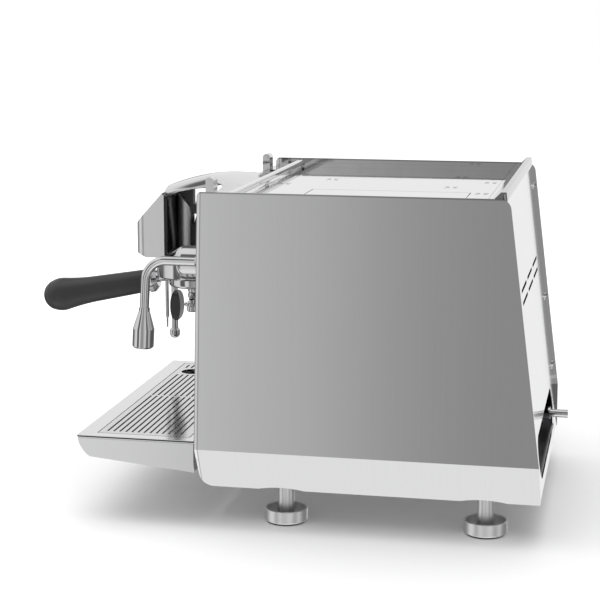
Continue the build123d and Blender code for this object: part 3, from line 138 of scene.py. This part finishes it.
def along_axes(tree, place):
    """The three coordinates of a place as values."""
    parts = tree.nodes.new("ShaderNodeSeparateXYZ")
    connect(tree, parts.inputs[0], place)
    return tuple(Value(tree, socket) for socket in parts.outputs)


def ray_kind(tree, name):
    """1 for one kind of ray and 0 for the others."""
    path = tree.nodes.new("ShaderNodeLightPath")
    return Value(tree, path.outputs[name])


def new_material(name):
    """An empty Principled material and its node tree, shader and Object coordinates."""
    material = bpy.data.materials.new(name)
    material.use_nodes = True
    tree = material.node_tree
    shader = tree.nodes["Principled BSDF"]
    place = add(tree, "ShaderNodeTexCoord", output="Object")
    return material, tree, shader, place


def noise(tree, place, scale, detail=3.0, stretch=(1, 1, 1), roughness=0.5):
    """Noise between 0 and 1 on Object coordinates, stretched along the axes."""
    spot = add(tree, "ShaderNodeMapping", {}, {"Vector": place, "Scale": stretch})
    return add(tree, "ShaderNodeTexNoise", {}, {"Vector": spot, "Scale": scale, "Detail": detail,
                                                 "Roughness": roughness})


def raised(tree, height, distance):
    """A bump from a height between 0 and 1 that stands up to a distance in metres."""
    return add(tree, "ShaderNodeBump", {}, {"Height": height, "Distance": distance})


# ---- Materials: finishes, and painted light and shade ----
# How often the polishing streaks change along x, y and z: they run the way where this is small
streaks_up = (1, 400, 3)
streaks_back = (300, 2, 2)
streaks_level = (2, 2, 300)
wide_streaks = (2, 2, 200)
streak_depth = 0.006          # how far the streaks change the tone
polish_wave = 0.00003         # height of the sheet's slight waviness


def polished_steel(name, tone, rough, streak, shade=None):
    """Mirror-polished sheet: fine polishing streaks, faint handling haze and a very slight waviness."""
    material, tree, shader, place = new_material(name)
    lines = noise(tree, place, 1.0, 4.0, streak, 0.6)
    haze = noise(tree, place, 9.0, 4.0)
    colour = ranged(tree, lines, 0.3, 0.7, tone - streak_depth, tone + streak_depth)
    # A shade, where given, paints light and shade into the tone as a factor
    if shade:
        colour = colour * shade(tree, place)
    rgb = add(tree, "ShaderNodeCombineColor", {}, {0: colour, 1: colour, 2: colour * 1.006})
    connect(tree, shader.inputs["Base Color"], rgb)
    connect(tree, shader.inputs["Roughness"], haze * 0.05 + lines * 0.03 + (rough - 0.04))
    connect(tree, shader.inputs["Normal"], raised(tree, noise(tree, place, 14.0, 2.0), polish_wave))
    shader.inputs["Metallic"].default_value = 1.0
    return material


def chrome(name, tone, rough):
    """Bright plating with faint smudges."""
    material, tree, shader, place = new_material(name)
    smudge = noise(tree, place, 60.0, 4.0)
    level = ranged(tree, smudge, 0.35, 0.7, tone + 0.015, tone - 0.03)
    rgb = add(tree, "ShaderNodeCombineColor", {}, {0: level, 1: level, 2: level * 1.01})
    connect(tree, shader.inputs["Base Color"], rgb)
    connect(tree, shader.inputs["Roughness"], smudge * 0.06 + (rough - 0.02))
    shader.inputs["Metallic"].default_value = 1.0
    return material


def moulded(name, colour, rough, grain=900.0, depth=0.00004, coat=0.0):
    """Moulded plastic, paint or rubber with a fine grain and slightly uneven sheen."""
    material, tree, shader, place = new_material(name)
    grains = noise(tree, place, grain, 2.0)
    patches = noise(tree, place, 30.0, 3.0)
    light = tuple(min(1.0, c * 1.35 + 0.004) for c in colour)
    connect(tree, shader.inputs["Base Color"], mix(tree, patches, colour, light))
    connect(tree, shader.inputs["Roughness"], patches * 0.1 + grains * 0.08 + (rough - 0.09))
    connect(tree, shader.inputs["Normal"], raised(tree, grains, depth))
    shader.inputs["Coat Weight"].default_value = coat
    return material


def plain_metal(name, colour, rough):
    """Unpolished metal with a rolled grain and dull patches."""
    material, tree, shader, place = new_material(name)
    grain = noise(tree, place, 40.0, 5.0, (1, 1, 12))
    patches = noise(tree, place, 22.0, 4.0)
    dull = tuple(c * 0.72 for c in colour)
    connect(tree, shader.inputs["Base Color"], mix(tree, patches, dull, colour))
    connect(tree, shader.inputs["Roughness"], grain * 0.12 + patches * 0.12 + (rough - 0.12))
    connect(tree, shader.inputs["Normal"], raised(tree, grain, 0.00003))
    shader.inputs["Metallic"].default_value = 1.0
    return material


def clear_plastic(name):
    """Clear moulded tank plastic with slight clouding."""
    material, tree, shader, place = new_material(name)
    cloud = noise(tree, place, 25.0, 3.0)
    connect(tree, shader.inputs["Base Color"], mix(tree, cloud, (0.78, 0.84, 0.88), (0.9, 0.93, 0.95)))
    connect(tree, shader.inputs["Roughness"], cloud * 0.12 + 0.08)
    connect(tree, shader.inputs["Alpha"], cloud * 0.2 + 0.4)
    return material


# Painted highlight and shade lines beside an edge: each stop is a share of border_reach away from the edge,
# and a share of the tone
border_reach = 0.010
# Along a side panel's front bend: painted shade at the edge, a painted highlight, then a painted shade line
front_bend_light_shade = [(0.0, 0.45), (0.06, 0.5), (0.09, 1.22), (0.3, 1.2), (0.36, 0.62), (0.42, 0.62), (0.5, 1.0)]
# Along its top edge: painted shade
top_edge_shade = [(0.0, 0.5), (0.1, 0.55), (0.22, 1.0)]
# Under the drip tray's rim: a painted shadow line
groove_shadow_stops = [(0.0, 1.0), (0.05, 1.0), (0.08, 0.07), (0.22, 0.07), (0.27, 1.0)]
front_lean, lean_height = 0.007, 0.295      # a side panel's front edge leans this much over this height


def painted_bend_light_shade(tree, place):
    """Painted light on the folded borders of a side panel: the bend's painted shade and highlight lines along
    the front, and painted shade along the top edge.
    """
    low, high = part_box("side_panel_left")
    _, y, z = along_axes(tree, place)
    lean = (high[2] - z) * (front_lean / lean_height)
    from_front = y + lean - (low[1] + front_lean)
    along_front = toned(tree, from_front / border_reach, front_bend_light_shade)
    along_top = toned(tree, (high[2] - z) / border_reach, top_edge_shade)
    return along_front * along_top


def painted_slot_shade(tree, place):
    """Painted shade in the drain slots and the gap of the hatch, as a share of the tone: 1 on the sheet, 0.12
    just below it.
    """
    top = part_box("cup_tray")[1][2]
    height = along_axes(tree, place)[2]
    return ranged(tree, height, start=top - 0.0004, end=top - 0.0001, low=0.12)


def painted_groove_shadow(tree, place):
    """Painted shadow line under the rolled rim of the drip tray, by the depth below its top."""
    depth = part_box("drip_tray")[1][2] - along_axes(tree, place)[2]
    return toned(tree, depth / border_reach, groove_shadow_stops)


# The shades paint light and shade into the tone: highlight and shade lines on the side panels' bends, shade
# in the cup tray's slots and a shadow line under the drip tray's rim
side_steel = polished_steel("side_steel", tone=0.66, rough=0.06, streak=streaks_up, shade=painted_bend_light_shade)
top_steel = polished_steel("top_steel", tone=0.7, rough=0.045, streak=streaks_back, shade=painted_slot_shade)
hood_steel = polished_steel("hood_steel", tone=0.62, rough=0.09, streak=streaks_back)
tray_steel = polished_steel("tray_steel", tone=0.72, rough=0.14, streak=streaks_back, shade=painted_groove_shadow)
grate_steel = polished_steel("grate_steel", tone=0.62, rough=0.14, streak=streaks_back)
cover_steel = polished_steel("cover_steel", tone=0.8, rough=0.36, streak=streaks_level)
foot_steel = polished_steel("foot_steel", tone=0.8, rough=0.38, streak=streaks_level)
column_steel = polished_steel("column_steel", tone=0.8, rough=0.42, streak=wide_streaks)
rear_steel = polished_steel("rear_steel", tone=0.74, rough=0.1, streak=streaks_back)
front_steel = polished_steel("front_steel", tone=0.64, rough=0.08, streak=wide_streaks)
bright_chrome = chrome("bright_chrome", tone=0.66, rough=0.04)
gloss_black = moulded("gloss_black", grey(0.006), rough=0.12, grain=1500.0, depth=0.000005, coat=0.6)
black_grip = moulded("black_grip", (0.018, 0.018, 0.019), rough=0.42)
black_housing = moulded("black_housing", grey(0.012), rough=0.3)
black_paint = moulded("black_paint", (0.02, 0.02, 0.021), rough=0.35, grain=1500.0)
pad_rubber = moulded("pad_rubber", grey(0.015), rough=0.7)
sheet_metal = plain_metal("sheet_metal", (0.52, 0.52, 0.53), rough=0.3)
bare_brass = plain_metal("bare_brass", (0.7, 0.5, 0.22), rough=0.28)
drawn_copper = plain_metal("drawn_copper", (0.72, 0.38, 0.24), rough=0.25)
motor_paint = moulded("motor_paint", (0.05, 0.05, 0.055), rough=0.4)
foam_jacket = moulded("foam_jacket", grey(0.05), rough=0.8, grain=300.0, depth=0.0003)
white_liner = moulded("white_liner", (0.75, 0.75, 0.73), rough=0.35)
grey_housing = moulded("grey_housing", (0.28, 0.29, 0.3), rough=0.45)
tank_plastic = clear_plastic("tank_plastic")

finish_of_slot = {
    "polished_panel": side_steel,
    "sheet_steel": sheet_metal,
    "chrome": bright_chrome,
    "black_plastic": black_housing,
    "black_metal": black_paint,
    "rubber": pad_rubber,
    "brass": bare_brass,
    "copper_pipe": drawn_copper,
    "clear_plastic": tank_plastic,
    "white_plastic": white_liner,
    "jacket": foam_jacket,
    "motor_paint": motor_paint,
    "electronics_box": grey_housing,
}
finish_of_node = {
    "handle_grip": black_grip,
    "handle_cap": black_grip,
    "hood": hood_steel,
    "cup_tray": top_steel,
    "hatch_lid": top_steel,
    "rear_panel": rear_steel,
    "front_panel": front_steel,
    "drip_tray": tray_steel,
    "drip_grate": grate_steel,
    "group_cover": cover_steel,
    "feet": foot_steel,
}
slot_of_node = {row["node"]: row["material_slot"] for row in frame["record"]["subparts"]}

for node_name, node_piece in frame["nodes"].items():
    finish = finish_of_node.get(node_name, finish_of_slot[slot_of_node[node_name]])
    node_piece.data.materials.clear()
    node_piece.data.materials.append(finish)


# ---- Shapes: how they are written ----
def grid_piece(name, points, material, body="casing", closed=False, ends=False, sharp=32.0):
    """Piece on one body from a grid of points: four-sided faces between neighbours.

    Where closed, the last column joins the first. Where ends, one face closes the first row and one the last.
    Edges sharper than the angle in degrees stay sharp.
    """
    rows, columns = points.shape[:2]
    index = np.arange(rows * columns).reshape(rows, columns)
    caps = [index[0].tolist(), index[-1][::-1].tolist()] if ends else []
    if closed:
        index = np.hstack([index, index[:, :1]])
    faces = np.stack([index[:-1, :-1], index[1:, :-1], index[1:, 1:], index[:-1, 1:]], axis=-1)
    mesh = bpy.data.meshes.new(name)
    mesh.from_pydata(points.reshape(-1, 3).tolist(), [], faces.reshape(-1, 4).tolist() + caps)
    work = bmesh.new()
    work.from_mesh(mesh)
    bmesh.ops.recalc_face_normals(work, faces=work.faces)
    work.to_mesh(mesh)
    work.free()
    mesh.shade_smooth()
    mesh.set_sharp_from_angle(angle=math.radians(sharp))
    mesh.materials.append(material)
    piece = bpy.data.objects.new(name, mesh)
    bpy.context.collection.objects.link(piece)
    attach(piece, body)
    return piece


def rounded_outline(corners, radii, steps=7):
    """Outline through corners, each cut by a round that is a quadratic curve between points a radius away."""
    corners = np.array(corners, float)
    before = np.roll(corners, 1, axis=0) - corners
    after = np.roll(corners, -1, axis=0) - corners
    before /= np.linalg.norm(before, axis=1, keepdims=True)
    after /= np.linalg.norm(after, axis=1, keepdims=True)
    reach = np.array(radii, float)[:, None]
    t = np.linspace(0.0, 1.0, steps)[None, :, None]
    start, end = (corners + before * reach)[:, None], (corners + after * reach)[:, None]
    return ((1 - t) ** 2 * start + 2 * t * (1 - t) * corners[:, None] + t ** 2 * end).reshape(-1, 2)


def oblong(low, high, lower_round, upper_round):
    """Outline of an oblong from its lowest to its highest corner, with its lower and its upper rounds."""
    corners = [(low[0], low[1]), (high[0], low[1]), (high[0], high[1]), (low[0], high[1])]
    return rounded_outline(corners, [lower_round, lower_round, upper_round, upper_round])


def carried(outline, stops, order):
    """The outline carried straight along a third axis, through stops that are each a place and an inset.

    There it is scaled about its middle by 1 less the inset's share of its reach, in each of its two axes.
    """
    places, insets = np.array(stops, float).T[:, :, None, None]
    middle = outline.mean(axis=0)
    spread = outline - middle
    flat = middle + spread * (1 - insets / np.abs(spread).max(axis=0))
    depth = np.broadcast_to(places, flat.shape[:2] + (1,))
    return np.concatenate([flat, depth], axis=2)[:, :, order]


# ---- Brew group ----
column_low, column_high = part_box("group_column")
panel_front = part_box("front_panel")[0][1]
axis_y = (column_low[1] + column_high[1]) / 2 + 0.0029      # the column stands a little nearer the body
column_r, column_rim = 0.0105, 0.0006
column_slope = 1.2245                                       # how far its top falls for each unit to the rear
slant_drop, slant_ahead = 0.0012, 0.0071                    # how far down the slant is, this far ahead
core_rear = axis_y - 0.0097
housing_round, housing_edge, housing_top_gap = 0.004, 0.003, 0.001
housing_slope = 1.06                                        # how far its top falls for each unit to the front
arm_half, arm_top = 0.014, 0.336
flange_t, flange_gap = 0.0055, 0.0004
holder_half, holder_edge = 0.006, 0.0006
ease = 0.001                                                # the round of a plain edge
# The housing's rear edge and the arm's front end: each the way from that face, and the inset there
housing_rear = ((0.004, 0.0), (0.0015, 0.0005), (0.0, 0.003))
arm_front = ((0.0, 0.009), (0.0055, 0.008), (0.0065, 0.0))


def group_housing():
    """Gloss-black housing behind the cover: a rounded oblong carried rearward under a sloping top.

    The top falls in a straight line from slope_end to the front. Behind slope_end it rises by housing_edge.
    """
    low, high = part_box("group_core")
    top = high[2]
    slope_end = high[1] - housing_top_gap
    outline = oblong((low[0], low[2]), (high[0], top), housing_round, housing_round)
    stops = [(low[1], housing_edge), (low[1] + housing_edge, 0.0), (slope_end, 0.0)]
    stops += [(core_rear - way, inset) for way, inset in housing_rear]
    rows = carried(outline, stops, [0, 2, 1])
    y, z = rows[:, :, 1], rows[:, :, 2]
    slope = top - housing_top_gap - housing_slope * np.clip(slope_end - y, 0, None)
    rise = housing_edge * np.clip((y - slope_end) / housing_edge, 0, 1) * (z > top - 0.006)
    rows[:, :, 2] = np.minimum(z, slope) + rise
    return grid_piece("group_housing", rows, gloss_black, ends=True)


def feed_column():
    """Satin column: circles stacked from a flat foot to a slanting plane, smaller by the rim at both ends."""
    turn = np.linspace(0.0, 2 * math.pi, 64, endpoint=False)
    share = np.array([0.0, 0.01, 0.2, 0.4, 0.6, 0.8, 0.992, 1.0])[:, None]
    radius = column_r - column_rim * ((share == 0.0) | (share == 1.0))
    bottom, top = column_low[2], column_high[2]
    x, y = radius * np.cos(turn), axis_y + radius * np.sin(turn)
    slant = np.minimum(top, top - slant_drop - column_slope * (y - axis_y + slant_ahead))
    points = np.stack([x, y, bottom + share * (slant - bottom)], axis=-1)
    return grid_piece("feed_column", points, column_steel, closed=True, ends=True, sharp=40.0)


def hood_holder():
    """Black bracket that carries the hood: a plate's outline, its front along the slant, carried across."""
    corners = np.array([(-0.0085, 0.0012), (0.0104, 0.0062), (0.0104, -0.0150), (0.0200, -0.0175),
                        (0.0200, -0.0295), (0.0065, -0.0260), (0.0078, -0.0180)])
    outline = rounded_outline(corners + (axis_y, column_high[2]), [0.0002] + [ease] * 5 + [2 * ease])
    flat_half = holder_half - holder_edge
    stops = [(-holder_half, holder_edge), (-flat_half, 0.0), (flat_half, 0.0), (holder_half, holder_edge)]
    return grid_piece("hood_holder", carried(outline, stops, [2, 0, 1]), black_paint, ends=True)


def group_arm():
    """Black arm from the column to its flange on the front panel: two rounded oblongs carried rearward."""
    low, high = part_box("group_neck")
    arm = oblong((-arm_half, column_low[2]), (arm_half, arm_top), 0.004, 0.010)
    flange = oblong((low[0], low[2]), (high[0], high[2]), 0.008, 0.008)
    front, flange_front = axis_y + 0.0082, panel_front - flange_t
    arm_stops = [(front + way, inset) for way, inset in arm_front] + [(flange_front - 0.0005, 0.0)]
    flange_stops = [(flange_front, ease), (flange_front + ease, 0.0), (panel_front - flange_gap, 0.0)]
    rows = [carried(arm, arm_stops, [0, 2, 1]), carried(flange, flange_stops, [0, 2, 1])]
    return grid_piece("group_arm", np.concatenate(rows), black_paint, ends=True)


# ---- Hood ----
hood_low, hood_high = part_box("hood")
seam, nose, hood_half = hood_high[1], hood_low[1], hood_high[0]
hood_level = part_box("cup_tray")[1][2]
hood_edge = panel_front - 0.0055                            # front edge on both sides of the tongue
tongue, blend, tip_round, tip_bow = 0.058, 0.026, 0.010, 0.004
slot_x, slot_half = 0.145, 0.0115
slot_end = hood_edge + 0.031
hood_fall, hood_lift, hood_crown = 0.0108, 0.0010, 0.0105
flat_share = 0.42                                           # share of the way forward that stays level
crown_side = 0.05                                           # how much wider the crown is on the body
crown_full, crown_wanes, crown_loss = 0.5, 0.6, 0.3         # shares of the way, and what the nose lacks
hood_t = 0.0015
hair = 0.00002                                              # places lie this far to each side of a step
hood_rows = 46


def hood_places():
    """Places across the hood from left to right: even steps, and closer ones at its curves and steps.

    At a round they follow the cosine or sine of even angles, and at a step one lies a hair to each side.
    """
    quarter = math.pi / 2
    steps = [tongue, slot_x - slot_half, slot_x + slot_half]
    beside = [place + side for place in steps for side in (-hair, hair)]
    bend = tongue + blend * (1 - np.cos(np.linspace(0, quarter, 12)))
    corner = tongue - tip_round * (1 - np.sin(np.linspace(0, quarter, 8)))
    slot = slot_x + slot_half * np.sin(np.linspace(0.02 - quarter, quarter - 0.02, 15))
    right = np.unique(np.concatenate([np.linspace(0, hood_half, 42), beside, bend, corner, slot]))
    return np.concatenate([-right[:0:-1], right])


def hood_front(across):
    """Front edge at each place across: straight, with quarter circles that sweep out to the tongue.

    The tongue's tip bows by a square and has round corners. Each lever slot ends in a half circle.
    """
    away = np.abs(across)
    sweep = np.clip((tongue + blend - away) / blend, 0, 1)
    swept = hood_edge - blend * (1 - np.sqrt(1 - sweep ** 2))
    turned = np.clip((away - tongue + tip_round) / tip_round, 0, 1)
    tip = nose + tip_round * (1 - np.sqrt(1 - turned ** 2)) + tip_bow * (away / tongue) ** 2
    slot = slot_end - slot_half + np.sqrt(np.clip(slot_half ** 2 - (away - slot_x) ** 2, 0, None))
    front = np.where((away > tongue) & (away < tongue + blend), swept, hood_edge)
    front = np.where(away <= tongue, tip, front)
    return np.where(np.abs(away - slot_x) < slot_half, slot, front)


def hood_height(x, y):
    """Height of the hood: the cup tray's level less a fall, plus a lift and a crown.

    The fall is the square of the share of the way to the nose beyond flat_share. The crown is 1 less the cube
    of the share of the way to its side, to the power 1.3. Lift and crown rise with a smooth step from the
    seam to crown_full, and wane in a straight line from crown_wanes to the nose.
    """
    out = (seam - y) / (seam - nose)
    fall = hood_fall * np.clip((out - flat_share) / (1 - flat_share), 0, 1) ** 2
    spread = tongue + crown_side * np.clip((y - (hood_edge - blend)) / blend, 0, 1)
    shape = (1 - np.clip(np.abs(x) / spread, 0, 1) ** 3) ** 1.3
    rise = np.clip(out / crown_full, 0, 1)
    rise = rise * rise * (3 - 2 * rise)
    wane = 1 - crown_loss * np.clip((out - crown_wanes) / (1 - crown_wanes), 0, 1)
    return hood_level - fall + (hood_lift + hood_crown * shape) * rise * wane


def hood_sheet():
    """Hood: from each place across, a line from the seam to the front edge, at the hood's height."""
    across = hood_places()
    share = np.linspace(0.0, 1.0, hood_rows)[:, None]
    x = np.repeat(across[None, :], hood_rows, axis=0)
    y = seam + (hood_front(across)[None, :] - seam) * share
    piece = grid_piece("hood_sheet", np.stack([x, y, hood_height(x, y)], axis=-1), hood_steel)
    wall = piece.modifiers.new("sheet", "SOLIDIFY")
    wall.thickness = hood_t
    wall.offset = -1.0
    return piece


for make, node in ((group_housing, "group_core"), (feed_column, "group_column"),
                   (hood_holder, "hood_bracket"), (group_arm, "group_neck"), (hood_sheet, "hood")):
    new_piece = make()
    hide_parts(node)


# ---- Studio ----
# Tones that polished metal mirrors, by bearing in degrees: 0 is the machine's right, 90 its front
room_tones = [(-180, 0.95), (-120, 0.9), (-78, 0.9), (-70, 0.2), (-48, 0.2), (-40, 0.85), (-30, 0.8),
              (-12, 0.45), (4.5, 0.36), (8, 0.44), (11.5, 0.59), (15, 0.68), (18, 0.88), (28, 0.9),
              (34, 0.15), (52, 0.15), (58, 0.95), (100, 0.8), (140, 0.95), (180, 0.95)]
# Where the room is dark low down, by bearing: 1 to the machine's left, apart from a gap
left_dark = [(-180, 0.0), (-160, 0.0), (-151, 1.0), (-100, 1.0), (-86, 0.0), (86, 0.0), (100, 1.0),
             (180, 1.0)]
# Where the two dark bands over the machine are, by the angle from its right over its top to its left
overhead_dark = [(0, 0.0), (26, 0.0), (32, 1.0), (60, 1.0), (68, 0.0), (112, 0.0), (120, 1.0), (142, 1.0),
                 (150, 0.0), (180, 0.0)]


def smooth_over(tree, angle, start, end):
    """0 up to one angle in degrees and 1 from the other, with a smooth step between."""
    return ranged(tree, angle, math.radians(start), math.radians(end), kind="SMOOTHSTEP")


def studio_world():
    """White to the camera, plain grey light on the machine, and in mirrors a pale room with dark bands."""
    world = bpy.data.worlds.new("studio")
    bpy.context.scene.world = world
    world.use_nodes = True
    tree = world.node_tree
    background = tree.nodes["Background"]
    x, y, z = along_axes(tree, add(tree, "ShaderNodeTexCoord", output="Generated"))
    bearing = (y * -1.0).math("ARCTAN2", x)
    height = z.math("ARCSINE")
    round_share = bearing / (2.0 * math.pi) + 0.5
    round_tone = toned(tree, round_share, [((a + 180) / 360, tone) for a, tone in room_tones])
    away = toned(tree, round_share, [((a + 180) / 360, share) for a, share in left_dark])
    overhead = toned(tree, z.math("ARCTAN2", x) / math.pi, [(a / 180, share) for a, share in overhead_dark])
    across = ranged(tree, y.math("ABSOLUTE"), start=0.55, end=0.4)
    room = mix(tree, smooth_over(tree, height.math("ABSOLUTE"), 18, 50), round_tone, grey(0.97))
    room = mix(tree, smooth_over(tree, height, -35, -52), room, grey(1.09))
    room = mix(tree, away * smooth_over(tree, height, 4, -3), room, grey(0.2))
    room = mix(tree, overhead * across, room, grey(0.16))
    ambient = mix(tree, ray_kind(tree, "Is Glossy Ray"), grey(0.75), room)
    connect(tree, background.inputs["Color"], mix(tree, ray_kind(tree, "Is Camera Ray"), ambient, grey(1.0)))
    background.inputs["Strength"].default_value = 1.0


def floor_sheet():
    """Plain pale floor that keeps the machine's shadow and glows towards white away from it."""
    half = 12.0
    mesh = bpy.data.meshes.new("floor")
    corners = [(-half, -half, 0), (half, -half, 0), (half, half, 0), (-half, half, 0)]
    mesh.from_pydata(corners, [], [(0, 1, 2, 3)])
    floor = bpy.data.objects.new("floor", mesh)
    bpy.context.collection.objects.link(floor)
    material, tree, shader, place = new_material("pale_floor")
    shader.inputs["Roughness"].default_value = 0.9
    shader.inputs["Specular IOR Level"].default_value = 0.0
    shader.inputs["Emission Color"].default_value = (1.0, 1.0, 1.0, 1.0)
    camera = ray_kind(tree, "Is Camera Ray")
    x, y, _ = along_axes(tree, place)
    from_middle = (x * x + y * y).math("SQRT")
    glow = ranged(tree, from_middle, start=0.55, end=1.5, low=0.02, high=0.5, kind="SMOOTHSTEP")
    connect(tree, shader.inputs["Base Color"], mix(tree, camera, grey(0.86), grey(0.83)))
    connect(tree, shader.inputs["Emission Strength"], camera * glow)
    mesh.materials.append(material)
    floor.visible_glossy = False


def soft_light(name, place, aim, size, power):
    """A large square soft light, placed and aimed in metres, with its side and its power in watts."""
    data = bpy.data.lights.new(name, "AREA")
    data.shape = "SQUARE"
    data.size = size
    data.energy = power
    lamp = bpy.data.objects.new(name, data)
    bpy.context.collection.objects.link(lamp)
    lamp.location = place
    lamp.rotation_euler = (Vector(aim) - Vector(place)).to_track_quat("-Z", "Y").to_euler()
    lamp.visible_glossy = False


def set_camera():
    """A long lens on the machine's right, a little to its rear, that looks slightly down."""
    low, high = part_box("foot_pads")
    feet_middle = (low[1] + high[1]) / 2
    data = bpy.data.cameras.new("camera")
    data.lens = 97.8
    data.sensor_width = 36.0
    camera = bpy.data.objects.new("camera", data)
    bpy.context.collection.objects.link(camera)
    to_right, to_rear, above_floor = 1.93765, 0.26984, 0.59917
    camera.location = (to_right, feet_middle + to_rear, above_floor)
    yaw, pitch = math.radians(11.68), math.radians(10.45)
    look = Vector((-math.cos(yaw) * math.cos(pitch), -math.sin(yaw) * math.cos(pitch), -math.sin(pitch)))
    camera.rotation_euler = look.to_track_quat("-Z", "Y").to_euler()
    bpy.context.scene.camera = camera


studio_world()
floor_sheet()
soft_light("overhead", place=(0.2, -0.2, 2.2), aim=(0.0, 0.0, 0.2), size=2.4, power=45.0)
set_camera()
bpy.context.scene.view_settings.view_transform = "Standard"
